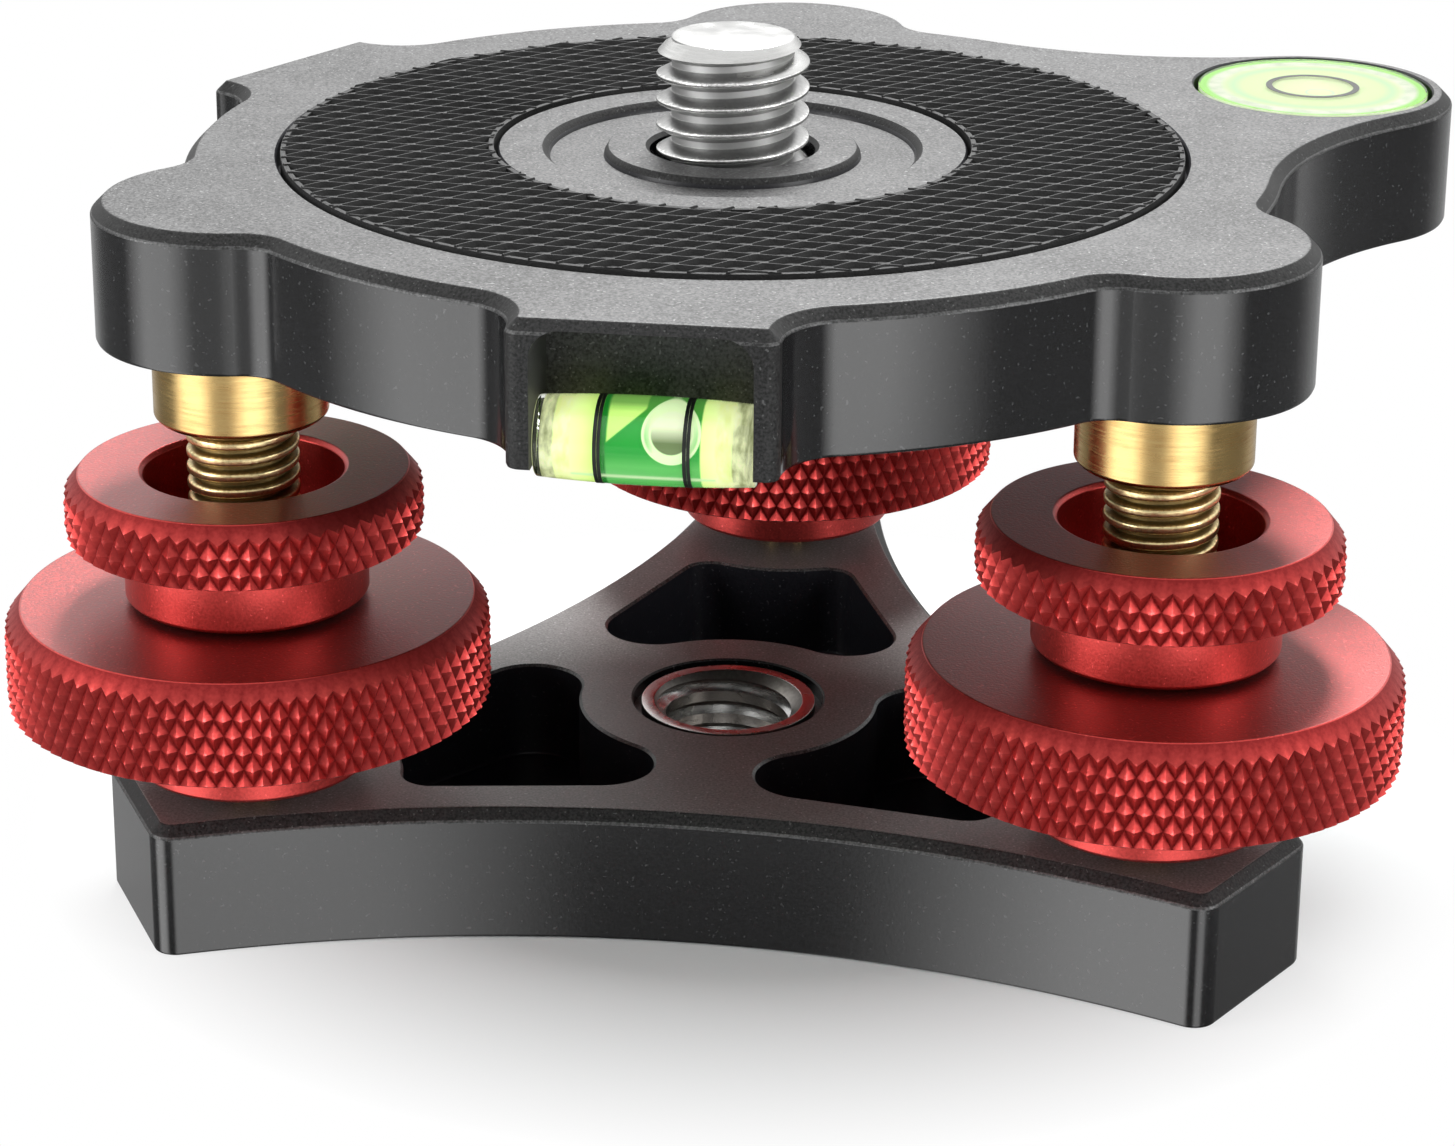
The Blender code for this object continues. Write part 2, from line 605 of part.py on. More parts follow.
def lock_ring(name):
    """The small nut on the same stud: rim, neck, and a counterbore that clears the boss."""
    counterbore_floor = RING_BOTTOM + RING_THREADED_LENGTH
    profile = [
        (RING_COUNTERBORE_RADIUS + RING_EDGE_CHAMFER, RING_TOP),
        (RING_RADIUS - RING_CROWN_WIDTH, RING_TOP),
        (RING_RADIUS, RING_BAND_TOP),
        (RING_RADIUS, RING_BAND_BOTTOM),
        (RING_RADIUS - RING_EDGE_CHAMFER, RING_RIM_HEIGHT),
        (RING_NECK_RADIUS, RING_RIM_HEIGHT),
        (RING_NECK_RADIUS, RING_BOTTOM + RING_EDGE_CHAMFER),
        (RING_NECK_RADIUS - RING_EDGE_CHAMFER, RING_BOTTOM),
        (STUD_BORE_RADIUS, RING_BOTTOM),
        (STUD_BORE_RADIUS, counterbore_floor),
        (RING_COUNTERBORE_RADIUS, counterbore_floor),
        (RING_COUNTERBORE_RADIUS, RING_TOP - RING_EDGE_CHAMFER),
    ]
    return turned_piece(name, profile)


def leveling_stud(name):
    """The threaded rod that hangs from the boss into the ring and the dial."""
    profile = [
        (0, STUD_TOP),
        (STUD_RADIUS - STUD_CHAMFER, STUD_TOP),
        (STUD_RADIUS, STUD_TOP - STUD_CHAMFER),
        (STUD_RADIUS, STUD_BOTTOM + STUD_CHAMFER),
        (STUD_RADIUS - STUD_CHAMFER, STUD_BOTTOM),
        (0, STUD_BOTTOM),
    ]
    return turned_piece(name, profile)


def stud_boss(name):
    """The brass collar: a spigot pressed into the plate, and a blind bore for the stud."""
    shoulder = PLATE_BOTTOM - CLEARANCE
    crown = shoulder + BOSS_SPIGOT_LENGTH
    profile = [
        (0, crown),
        (BOSS_SPIGOT_RADIUS, crown),
        (BOSS_SPIGOT_RADIUS, shoulder),
        (BOSS_RADIUS, shoulder),
        (BOSS_RADIUS, BOSS_BOTTOM + BOSS_CHAMFER),
        (BOSS_RADIUS - BOSS_CHAMFER, BOSS_BOTTOM),
        (STUD_BORE_RADIUS, BOSS_BOTTOM),
        (STUD_BORE_RADIUS, crown - BOSS_CROWN_WALL),
        (0, crown - BOSS_CROWN_WALL),
    ]
    return turned_piece(name, profile)


def make_legs(shop):
    """Everything that stands on the leg circle, three times: first what the base and the dial
    carry, then what hangs from the top plate."""
    kinds = (
        (socket_cap, SPRING_STEEL, False),
        (pivot_pin, BRIGHT_BRASS, False),
        (pin_clip, SPRING_STEEL, False),
        (height_dial, RED_ANODISED, False),
        (lock_ring, RED_ANODISED, False),
        (leveling_stud, OLIVE_BRASS, True),
        (stud_boss, BRIGHT_BRASS, True),
    )
    for leg, azimuth in LEG_AZIMUTHS.items():
        place = point_at(LEG_CIRCLE_RADIUS, azimuth)
        shop.keep(ball_seat("ball_seat_" + leg), WHITE_ACETAL, place, PIVOT_HEIGHT)
        for make, finish, on_platform in kinds:
            piece = make(make.__name__ + "_" + leg)
            shop.keep(piece, finish, place, on_platform=on_platform)


def blend_circle(azimuth, distance, radius, blend, side):
    """The hollow circle that joins the plate's round body to a lobe on it, on one side of the lobe."""
    body_reach = PLATE_BODY_RADIUS + blend
    lobe_reach = radius + blend
    lean = (body_reach ** 2 + distance ** 2 - lobe_reach ** 2) / (2 * body_reach * distance)
    return (point_at(body_reach, azimuth + side * math.acos(lean)), blend, -1)


def vial_boss_circles(azimuth):
    """The straight-faced boss for a tube vial: a root blend and a corner on each side."""
    along = VIAL_BOSS_REACH - VIAL_BOSS_CORNER
    across = VIAL_BOSS_HALF_WIDTH - VIAL_BOSS_CORNER
    root_across = VIAL_BOSS_HALF_WIDTH + VIAL_BOSS_BLEND
    root_along = math.sqrt((PLATE_BODY_RADIUS + VIAL_BOSS_BLEND) ** 2 - root_across ** 2)
    turn = Matrix.Rotation(azimuth, 2)
    return [
        (turn @ Vector((root_along, -root_across)), VIAL_BOSS_BLEND, -1),
        (turn @ Vector((along, -across)), VIAL_BOSS_CORNER, 1),
        (turn @ Vector((along, across)), VIAL_BOSS_CORNER, 1),
        (turn @ Vector((root_along, root_across)), VIAL_BOSS_BLEND, -1),
    ]


def lobe_circles(azimuth, distance, radius, blend):
    """A round lobe with a blend on each side."""
    return [
        blend_circle(azimuth, distance, radius, blend, -1),
        (point_at(distance, azimuth), radius, 1),
        blend_circle(azimuth, distance, radius, blend, 1),
    ]


def plate_outline():
    """The lobed rim: three leg lobes, the bullseye lobe and two vial bosses round a disc."""
    features = []
    for azimuth in LEG_AZIMUTHS.values():
        circles = lobe_circles(azimuth, LEG_CIRCLE_RADIUS, LEG_LOBE_RADIUS, LEG_LOBE_BLEND)
        features.append((azimuth, circles))
    circles = lobe_circles(
        BULLSEYE_AZIMUTH, BULLSEYE_CIRCLE_RADIUS, BULLSEYE_LOBE_RADIUS, BULLSEYE_LOBE_BLEND
    )
    features.append((BULLSEYE_AZIMUTH, circles))
    for azimuth in VIAL_BOSS_AZIMUTHS.values():
        features.append((azimuth, vial_boss_circles(azimuth)))
    body = (Vector((0, 0)), PLATE_BODY_RADIUS, 1)
    outline = []
    for _, circles in sorted(features, key=lambda feature: feature[0]):
        outline += [*circles, body]
    return belt(outline)


def vial_pocket(name):
    """The arched pocket for a tube vial, lying down: its width along X, its height along Y from
    the underside of the plate, and its depth down from the face of the boss."""
    top = PLATE_THICKNESS - VIAL_POCKET_ROOF
    round_across = VIAL_POCKET_HALF_WIDTH - VIAL_POCKET_CORNER
    round_height = top - VIAL_POCKET_CORNER
    arch = belt([
        (Vector((-VIAL_POCKET_HALF_WIDTH, -CUT_OVERRUN)), 0, 1),
        (Vector((VIAL_POCKET_HALF_WIDTH, -CUT_OVERRUN)), 0, 1),
        (Vector((round_across, round_height)), VIAL_POCKET_CORNER, 1),
        (Vector((-round_across, round_height)), VIAL_POCKET_CORNER, 1),
    ])
    depth = VIAL_FRONT_SETBACK + 2 * VIAL_RADIUS + CLEARANCE
    return flat_piece(name, arch, -depth, CUT_OVERRUN)


def make_plate(shop):
    """The top plate, cut for the pad, the screw, the bosses, the vials and the bullseye."""
    plate = flat_piece("top_plate", plate_outline(), PLATE_BOTTOM, PLATE_TOP, PLATE_CHAMFER)
    shop.keep(plate, BLACK_ANODISED, on_platform=True)
    above = PLATE_TOP + CUT_OVERRUN
    below = PLATE_BOTTOM - CUT_OVERRUN
    recess_floor = PLATE_TOP - PAD_RECESS_DEPTH
    shop.cut(plate, turned_piece(
        "pad_recess",
        [
            (ISLAND_RADIUS, above),
            (PAD_RECESS_RADIUS, above),
            (PAD_RECESS_RADIUS, recess_floor),
            (ISLAND_RADIUS, recess_floor),
        ],
    ))
    step_floor = PLATE_TOP - ISLAND_STEP_DEPTH
    collar_top = step_floor + COLLAR_HEIGHT
    shop.cut(plate, turned_piece(
        "island_step",
        [
            (0, above),
            (ISLAND_STEP_RADIUS, above),
            (ISLAND_STEP_RADIUS, PLATE_TOP),
            (ISLAND_STEP_RADIUS - ISLAND_STEP_RUN, step_floor),
            (COLLAR_RADIUS, step_floor),
            (COLLAR_RADIUS - COLLAR_TAPER, collar_top),
            (0, collar_top),
        ],
    ))
    head_bore = SCREW_HEAD_RADIUS + CLEARANCE
    groove_radius = head_bore + SNAP_RING_GROOVE_DEPTH
    shop.cut(plate, turned_piece(
        "screw_bore",
        [
            (0, above),
            (SCREW_HOLE_RADIUS, above),
            (SCREW_HOLE_RADIUS, SCREW_HEAD_TOP + CLEARANCE),
            (head_bore, SCREW_HEAD_TOP + CLEARANCE),
            (head_bore, SCREW_GROOVE_TOP),
            (groove_radius, SCREW_GROOVE_TOP),
            (groove_radius, SCREW_GROOVE_BOTTOM),
            (head_bore, SCREW_GROOVE_BOTTOM),
            (head_bore, below),
            (0, below),
        ],
    ))
    spigot_top = PLATE_BOTTOM + BOSS_SPIGOT_LENGTH
    for leg, azimuth in LEG_AZIMUTHS.items():
        bore = cylinder("boss_bore_" + leg, BOSS_SPIGOT_RADIUS + CLEARANCE, below, spigot_top)
        shop.cut(plate, bore, point_at(LEG_CIRCLE_RADIUS, azimuth))
    for side, azimuth in VIAL_BOSS_AZIMUTHS.items():
        place = point_at(VIAL_BOSS_REACH, azimuth)
        # Stood up on its width, the pocket faces outwards.
        turn = (math.radians(90), 0, azimuth + math.radians(90))
        shop.cut(plate, vial_pocket("vial_pocket_" + side), place, PLATE_BOTTOM, turn)
    lens_floor = PLATE_TOP - LENS_HEIGHT - LENS_BACKING_THICKNESS - 2 * CLEARANCE
    lens_bore = cylinder("bullseye_bore", LENS_BORE_RADIUS, lens_floor, above)
    shop.cut(plate, lens_bore, point_at(BULLSEYE_CIRCLE_RADIUS, BULLSEYE_AZIMUTH))


def make_pad(shop):
    """The rubber ring in its recess, standing a little proud of the plate."""
    top = PLATE_TOP + PAD_STAND_PROUD
    bottom = PLATE_TOP - PAD_RECESS_DEPTH + CLEARANCE
    inner = ISLAND_RADIUS + CLEARANCE
    outer = PAD_RECESS_RADIUS - CLEARANCE
    profile = [(inner, top), (outer, top), (outer, bottom), (inner, bottom)]
    shop.keep(turned_piece("rubber_pad", profile), BLACK_RUBBER, on_platform=True)


def make_mounting_screw(shop):
    """The captive screw: threaded end above, flanged head below with a hex socket."""
    head_bottom = SCREW_GROOVE_TOP
    tip = PLATE_TOP + SCREW_PROJECTION
    screw = turned_piece(
        "mounting_screw",
        [
            (0, tip),
            (SCREW_TIP_RADIUS, tip),
            (SCREW_RADIUS, tip - SCREW_TIP_HEIGHT),
            (SCREW_RADIUS, SCREW_HEAD_TOP),
            (SCREW_HEAD_RADIUS, SCREW_HEAD_TOP),
            (SCREW_HEAD_RADIUS, head_bottom),
            (0, head_bottom),
        ],
    )
    shop.keep(screw, BRIGHT_STEEL, on_platform=True)
    corner_radius = SCREW_SOCKET_APOTHEM / math.cos(math.radians(30))
    low = head_bottom - CUT_OVERRUN
    socket_top = head_bottom + SCREW_SOCKET_DEPTH
    shop.cut(screw, cylinder("hex_socket", corner_radius, low, socket_top, sides=6))
    # The C-shaped snap ring under the head sits in its groove in the plate.
    outer = SCREW_HEAD_RADIUS + SNAP_RING_GROOVE_DEPTH
    inner = outer - SNAP_RING_WIDTH
    top = SCREW_GROOVE_TOP - CLEARANCE
    bottom = SCREW_GROOVE_BOTTOM + CLEARANCE
    profile = [(inner, top), (outer, top), (outer, bottom), (inner, bottom)]
    ring = turned_piece("screw_retaining_ring", profile)
    shop.keep(ring, SPRING_STEEL, on_platform=True)
    half_mouth = SNAP_RING_MOUTH / 2
    reach = outer + CUT_OVERRUN
    mouth = belt([
        (Vector((0, -half_mouth)), 0, 1),
        (Vector((reach, -half_mouth)), 0, 1),
        (Vector((reach, half_mouth)), 0, 1),
        (Vector((0, half_mouth)), 0, 1),
    ])
    cutter = flat_piece("snap_ring_mouth", mouth, bottom - CUT_OVERRUN, top + CUT_OVERRUN)
    shop.cut(ring, cutter)


def make_tube_vial(shop, side, azimuth):
    """A crowned clear barrel lying across its pocket, with its fluid and its end plug."""
    half_length = VIAL_POCKET_HALF_WIDTH - CLEARANCE
    bore = VIAL_END_RADIUS - VIAL_WALL
    bore_end = half_length - VIAL_END_WALL
    crown = []
    for share in VIAL_CROWN_SHARES:
        radius = VIAL_RADIUS - (VIAL_RADIUS - VIAL_END_RADIUS) * share ** 2
        crown.append((radius, half_length * share))
    barrel = [(0, half_length), *crown, (bore, -half_length), (bore, bore_end), (0, bore_end)]
    inner = bore - CLEARANCE
    plug_end = -half_length + VIAL_PLUG_LENGTH
    fluid_ends = (plug_end + CLEARANCE, bore_end - CLEARANCE)
    pieces = (
        (turned_piece(side + "_vial_tube", barrel), CLEAR_ACRYLIC),
        (cylinder(side + "_vial_plug", inner, -half_length, plug_end), CLEAR_ACRYLIC),
        (cylinder(side + "_vial_fluid", inner, *fluid_ends), VIAL_FLUID),
    )
    place = point_at(VIAL_BOSS_REACH - VIAL_FRONT_SETBACK - VIAL_RADIUS, azimuth)
    for piece, finish in pieces:
        shop.keep(piece, finish, place, PLATE_BOTTOM + VIAL_AXIS_HEIGHT, on_platform=True)
        piece.rotation_euler = (math.radians(90), 0, azimuth)


def make_bullseye(shop):
    """The round vial: a clear cup set mouth down, its fluid, and the pale disc behind it."""
    bottom = PLATE_TOP - LENS_HEIGHT
    cavity_radius = LENS_RADIUS - LENS_WALL
    cavity_top = PLATE_TOP - LENS_TOP_WALL
    lens = [
        (0, PLATE_TOP),
        (LENS_RADIUS, PLATE_TOP),
        (LENS_RADIUS, bottom),
        (cavity_radius, bottom),
        (cavity_radius, cavity_top),
        (0, cavity_top),
    ]
    fluid_radius = cavity_radius - CLEARANCE
    backing_top = bottom - CLEARANCE
    backing_low = backing_top - LENS_BACKING_THICKNESS
    pieces = (
        (turned_piece("bullseye_lens", lens), CLEAR_ACRYLIC),
        (cylinder("bullseye_fluid", fluid_radius, bottom, cavity_top - CLEARANCE), VIAL_FLUID),
        (cylinder("bullseye_backing", LENS_RADIUS, backing_low, backing_top), WHITE_ACETAL),
    )
    place = point_at(BULLSEYE_CIRCLE_RADIUS, BULLSEYE_AZIMUTH)
    for piece, finish in pieces:
        shop.keep(piece, finish, place, on_platform=True)


def main():
    for obj in list(bpy.data.objects):
        bpy.data.objects.remove(obj)
    shop = Workshop()
    make_base(shop)
    make_bushing(shop)
    make_legs(shop)
    make_plate(shop)
    make_pad(shop)
    make_mounting_screw(shop)
    for side, azimuth in VIAL_BOSS_AZIMUTHS.items():
        make_tube_vial(shop, side, azimuth)
    make_bullseye(shop)


main()
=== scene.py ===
# %% [markdown]
# A tripod leveling head is a small table on three legs. A camera head sits on the rubber pad of the
# top plate, and three red dials raise and lower the plate until the bubbles stand in the middle.
# The packed model gives every piece its place and size. This script draws the same pieces again,
# finer: real knurling, real threads, eased edges, and a finish for each surface.

import math
from types import SimpleNamespace

import bmesh
import bpy
from mathutils import Matrix, Vector


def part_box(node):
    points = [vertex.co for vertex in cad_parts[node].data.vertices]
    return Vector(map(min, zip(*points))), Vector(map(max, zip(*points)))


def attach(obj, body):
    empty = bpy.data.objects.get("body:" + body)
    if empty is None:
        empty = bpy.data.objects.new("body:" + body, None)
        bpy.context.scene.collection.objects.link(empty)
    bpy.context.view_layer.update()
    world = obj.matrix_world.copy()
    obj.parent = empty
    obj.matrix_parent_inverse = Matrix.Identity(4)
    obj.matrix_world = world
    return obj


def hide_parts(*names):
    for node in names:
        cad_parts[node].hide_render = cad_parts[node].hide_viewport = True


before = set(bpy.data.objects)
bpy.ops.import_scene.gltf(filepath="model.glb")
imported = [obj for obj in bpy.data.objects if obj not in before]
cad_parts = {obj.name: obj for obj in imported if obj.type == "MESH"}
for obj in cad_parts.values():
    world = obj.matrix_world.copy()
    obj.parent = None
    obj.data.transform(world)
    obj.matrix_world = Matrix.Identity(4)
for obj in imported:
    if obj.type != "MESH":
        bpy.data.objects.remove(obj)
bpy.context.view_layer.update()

# %% [markdown]
# Sizes are read from the frame wherever a node's box gives them, so nothing can drift apart.
# The head's own axis runs through the mounting screw, and each leg's axis through its brass boss.

# %% Axes and heights, read from the frame
MM = 0.001


def middle(node):
    """The middle of a node's box."""
    low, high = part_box(node)
    return (low + high) / 2


def heights(node):
    """The lowest and the highest height of a node."""
    low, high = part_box(node)
    return low.z, high.z


def radius_of(node):
    """The radius of a round, upright node."""
    low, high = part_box(node)
    return (high.x - low.x) / 2


AXIS = middle("mounting_screw").xy
LEGS = {leg: middle("stud_boss_" + leg).xy for leg in ("left", "right", "back")}
AZIMUTHS = {leg: math.atan2(*(place - AXIS).yx) for leg, place in LEGS.items()}
LEG_CIRCLE = (LEGS["back"] - AXIS).length
BASE_BOTTOM, BASE_TOP = heights("base_plate")
PLATE_BOTTOM, PLATE_TOP = heights("top_plate")
print("legs on a circle of", round(LEG_CIRCLE / MM, 2), "mm; plate top at", round(PLATE_TOP / MM, 2))

# %% [markdown]
# Both plates are milled from flat stock, and their rims are arcs that flow into each other. The
# outline is described as a belt run round a list of circles. A belt has a fine property: grown
# by a constant it keeps the same number of points, so a chamfer is the belt drawn twice.

# %% A belt round circles, and a solid stacked from belts
FINE_SAG = 0.004 * MM
WIDEST_STEP = math.radians(9)
SHARP_CORNER = math.radians(32)
WELD = 0.0002 * MM


def point_at(radius, azimuth):
    """The point at a radius and an azimuth about the origin."""
    return Vector((radius * math.cos(azimuth), radius * math.sin(azimuth)))


def belt(circles, grow=0.0):
    """Points of the outline round circles, each (centre, radius, turn): turn is -1 where it hollows."""
    signed = [turn * radius + grow for _, radius, turn in circles]
    normals = []
    for index, (centre, _, _) in enumerate(circles):
        after = (index + 1) % len(circles)
        line = circles[after][0] - centre
        lean = (signed[index] - signed[after]) / line.length
        normals.append(math.atan2(line.y, line.x) - math.acos(max(-1.0, min(1.0, lean))))
    points = []
    for index, (centre, radius, turn) in enumerate(circles):
        start = normals[index - 1]
        sweep = turn * (normals[index] - start) % math.tau
        finest = 2 * math.acos(1 - min(1.0, FINE_SAG / radius))
        steps = max(2, math.ceil(sweep / min(finest, WIDEST_STEP)))
        for step in range(steps + 1):
            points.append(centre + signed[index] * point_at(1, start + turn * sweep * step / steps))
    return points


def linked(name, data):
    """A new object in the scene."""
    made = bpy.data.objects.new(name, data)
    bpy.context.scene.collection.objects.link(made)
    return made


def shade(mesh):
    """Smooth round faces and keep real corners sharp."""
    mesh.shade_smooth()
    mesh.set_sharp_from_angle(angle=SHARP_CORNER)


def solid_from(name, made):
    """An object from a bmesh whose normals are turned outwards first."""
    bmesh.ops.remove_doubles(made, verts=made.verts, dist=WELD)
    bmesh.ops.recalc_face_normals(made, faces=made.faces)
    mesh = bpy.data.meshes.new(name)
    made.to_mesh(mesh)
    made.free()
    shade(mesh)
    return linked(name, mesh)


def stacked(name, circles, levels):
    """A closed solid through one belt at each level, where a level is (height, grow), going up."""
    made = bmesh.new()
    rings = [
        [made.verts.new((*point, height)) for point in belt(circles, grow)]
        for height, grow in levels
    ]
    for low, high in zip(rings, rings[1:]):
        for index in range(len(low)):
            after = (index + 1) % len(low)
            made.faces.new((low[index], low[after], high[after], high[index]))
    made.faces.new(rings[0][::-1])
    made.faces.new(rings[-1])
    return solid_from(name, made)


pair = [(Vector((place * MM, 0)), 10 * MM, 1) for place in (0, 20)]
print("a belt round two 10 mm circles has", len(belt(pair)), "points")

# %% [markdown]
# Dials, rings, studs, bosses and the screw come off a lathe. A turned piece is a profile of
# (radius, height) points spun about the axis. No lathe leaves a perfectly sharp edge, and the
# little highlight along an edge is what makes metal look solid, so every corner is eased.

# %% Turned pieces with eased corners
EASE = 0.12 * MM
FINE_EASE = 0.08 * MM
STRAIGHT = -0.998


def eased(profile, ease, closed):
    """The profile with each corner swapped for a small curve."""
    points = [Vector(point) for point in profile]
    softened = []
    for index, corner in enumerate(points):
        at_end = not closed and index in (0, len(points) - 1)
        back = points[index - 1] - corner
        ahead = points[(index + 1) % len(points)] - corner
        if at_end or not ease or back.normalized().dot(ahead.normalized()) < STRAIGHT:
            softened.append(corner)
            continue
        start = corner + back.normalized() * min(ease, 0.45 * back.length)
        end = corner + ahead.normalized() * min(ease, 0.45 * ahead.length)
        for share in (0, 1 / 3, 2 / 3, 1):
            softened.append(
                start * (1 - share) ** 2 + 2 * corner * share * (1 - share) + end * share ** 2
            )
    return softened


def turned(name, profile, around=96, ease=EASE):
    """A profile, given down its outer side, spun about the upright axis into a closed solid."""
    closed = profile[0][0] > 0 or profile[-1][0] > 0
    made = bmesh.new()
    rings = []
    for radius, height in eased(profile, ease, closed):
        rings.append([
            made.verts.new((*point_at(radius, math.tau * spot / around), height))
            for spot in range(around if radius > 0 else 1)
        ])
    lower_rings = rings[1:] + rings[:1] if closed else rings[1:]
    for upper, lower in zip(rings, lower_rings):
        for spot in range(around):
            after = (spot + 1) % around
            corners = list(dict.fromkeys([
                upper[spot % len(upper)], lower[spot % len(lower)],
                lower[after % len(lower)], upper[after % len(upper)],
            ]))
            if len(corners) > 2:
                made.faces.new(corners)
    return solid_from(name, made)


def band(inner, outer, top, bottom):
    """The profile of a plain ring, or of a plain rod where the inner radius is 0."""
    return [(inner, top), (outer, top), (outer, bottom), (inner, bottom)]


def settled(solid):
    """Keep what an object's modifiers make of it as its plain mesh."""
    graph = bpy.context.evaluated_depsgraph_get()
    mesh = bpy.data.meshes.new_from_object(solid.evaluated_get(graph))
    solid.modifiers.clear()
    solid.data = mesh
    return solid


def worked(solid, tool, operation="DIFFERENCE"):
    """Cut, join or trim one solid with another, which is used up."""
    step = solid.modifiers.new("work", "BOOLEAN")
    step.operation = operation
    step.solver = "EXACT"
    step.object = tool
    shade(settled(solid).data)
    bpy.data.objects.remove(tool)
    return solid


def moved(solid, matrix):
    """Turn or shift a solid inside its own mesh, so that its object stays at the origin."""
    solid.data.transform(matrix)
    return solid


def moved_to(solid, place, height=0.0):
    """Shift a solid to a place on the plan."""
    return moved(solid, Matrix.Translation((*place, height)))


print("an eased square corner has", len(eased([(0, 1), (1, 1), (1, 0)], 0.1, False)) - 2, "points")

# %% [markdown]
# A finish is a tree of nodes joined by wires. The class below lets plain sums stand for the nodes
# that do them, so `depth + smear` adds a node. Values that are the same all over a surface are set
# on the shader itself, and only what varies is wired.

# %% Wires and helpers for node trees
class Wire:
    """What leaves a socket, ready to be worked on by more nodes."""

    def __init__(self, socket):
        self.socket = socket
        self.tree = socket.id_data

    def maths(self, operation, *others):
        """One sum or comparison."""
        return put(self.tree, "ShaderNodeMath", dict(enumerate((self, *others))), operation=operation)

    def __add__(self, other):
        return self.maths("ADD", other)

    def __sub__(self, other):
        return self.maths("SUBTRACT", other)

    def __rsub__(self, other):
        return put(self.tree, "ShaderNodeMath", {0: other, 1: self}, operation="SUBTRACT")

    def __mul__(self, other):
        return self.maths("MULTIPLY", other)

    def __truediv__(self, other):
        return self.maths("DIVIDE", other)

    def __abs__(self):
        return self.maths("ABSOLUTE")

    def ramp(self, low, high, to_low=0.0, to_high=1.0):
        """The value carried from one range to another, and held at its ends."""
        names = ("Value", "From Min", "From Max", "To Min", "To Max")
        return put(self.tree, "ShaderNodeMapRange", dict(zip(names, (self, low, high, to_low, to_high))))

    def inside(self, low, high, soft=0.05):
        """One inside a range and zero outside it, with soft ends."""
        return self.ramp(low - soft, low + soft) * self.ramp(high - soft, high + soft, 1.0, 0.0)

    def mix(self, first, second):
        """Two colours mixed by this share."""
        return put(self.tree, "ShaderNodeMix", {0: self, 6: first, 7: second}, 2, data_type="RGBA")

    def blend(self, first, second):
        """Two plain values mixed by this share."""
        return put(self.tree, "ShaderNodeMix", {0: self, 2: first, 3: second}, data_type="FLOAT")

    def choose(self, first, second):
        """Two shaders mixed by this share."""
        return put(self.tree, "ShaderNodeMixShader", {0: self, 1: first, 2: second})

    def parts(self):
        """The x, y and z of a vector."""
        return [put(self.tree, "ShaderNodeSeparateXYZ", {0: self}, axis) for axis in range(3)]


def fill(socket, value):
    """Wire a socket, once for each wire of a list, or set its plain value with colours opaque."""
    if isinstance(value, list):
        for wire in value:
            fill(socket, wire)
    elif isinstance(value, Wire):
        value.tree.links.new(value.socket, socket)
    else:
        socket.default_value = (*value, 1) if socket.type == "RGBA" else value


def put(tree, kind, sockets=None, out=0, **settings):
    """Add a node, set it up, fill its sockets, and give the wire that leaves it."""
    made = tree.nodes.new(kind)
    for key, value in settings.items():
        setattr(made, key, value)
    for key, value in (sockets or {}).items():
        fill(made.inputs[key], value)
    return Wire(made.outputs[out]) if made.outputs else made


print("a wire can be worked on with", ", ".join(name for name in vars(Wire) if name[0] != "_"))

# %% [markdown]
# Most surfaces need the same few things: noise of a known size, a fresh material, values on its
# shader, a bump, and colours laid over each other.

# %% Helpers for materials
def distance(x, y):
    """How far a point on the plan lies from the middle."""
    return (x * x + y * y).maths("SQRT")


def grain(tree, size, detail=2.0, stretch=(1, 1, 1), place=None):
    """Noise whose spots are about this large, stretched along an axis by a number above one."""
    place = place or put(tree, "ShaderNodeTexCoord", out="Object")
    scale = tuple(1 / amount for amount in stretch)
    spread = put(tree, "ShaderNodeMapping", {"Vector": place, "Scale": scale})
    return put(tree, "ShaderNodeTexNoise", {"Vector": spread, "Scale": 1 / size, "Detail": detail})


def fresh_material(name):
    """A material with nothing but a shader wired to its output."""
    made = bpy.data.materials.new(name)
    made.use_nodes = True
    return made, made.node_tree, made.node_tree.nodes["Principled BSDF"]


def set_shader(shader, **values):
    """Fill the shader's own sockets."""
    for name, value in values.items():
        fill(shader.inputs[name.replace("_", " ")], value)


def raised(tree, shader, height, depth):
    """Bump a surface by a height from 0 to 1 that stands for this depth."""
    bump = put(tree, "ShaderNodeBump", {"Height": height, "Distance": depth, "Strength": 1.0})
    set_shader(shader, Normal=bump)


def grey(value):
    """A colour without a hue."""
    return (value, value, value)


def rubbed(colour, strength):
    """A colour made brighter, for pale flecks and for painted highlights."""
    return tuple(min(1.0, strength * part + 0.04) for part in colour)


def layered(colour, *layers):
    """A colour under layers of (share, colour), from the lowest to the uppermost."""
    for share, upper in layers:
        colour = share.mix(colour, upper)
    return colour


print("a rubbed mid grey is", rubbed(grey(0.5), 1.3))

# %% [markdown]
# The plates are black anodised aluminium. Their flat faces were bead blasted first, which leaves a
# fine even sparkle. The flats are painted a lighter grey than the walls: partly the blast's own paler
# tone, partly a painted sheen that stands for the overhead light. Their milled walls and chamfers
# stay smoother and darker. Each is noise at the size of the beads, a sixth of a millimetre.

# %% Anodised aluminium
BEAD = 0.16 * MM
FLECK = 0.19 * MM
COAT_ROUGHNESS = 0.36


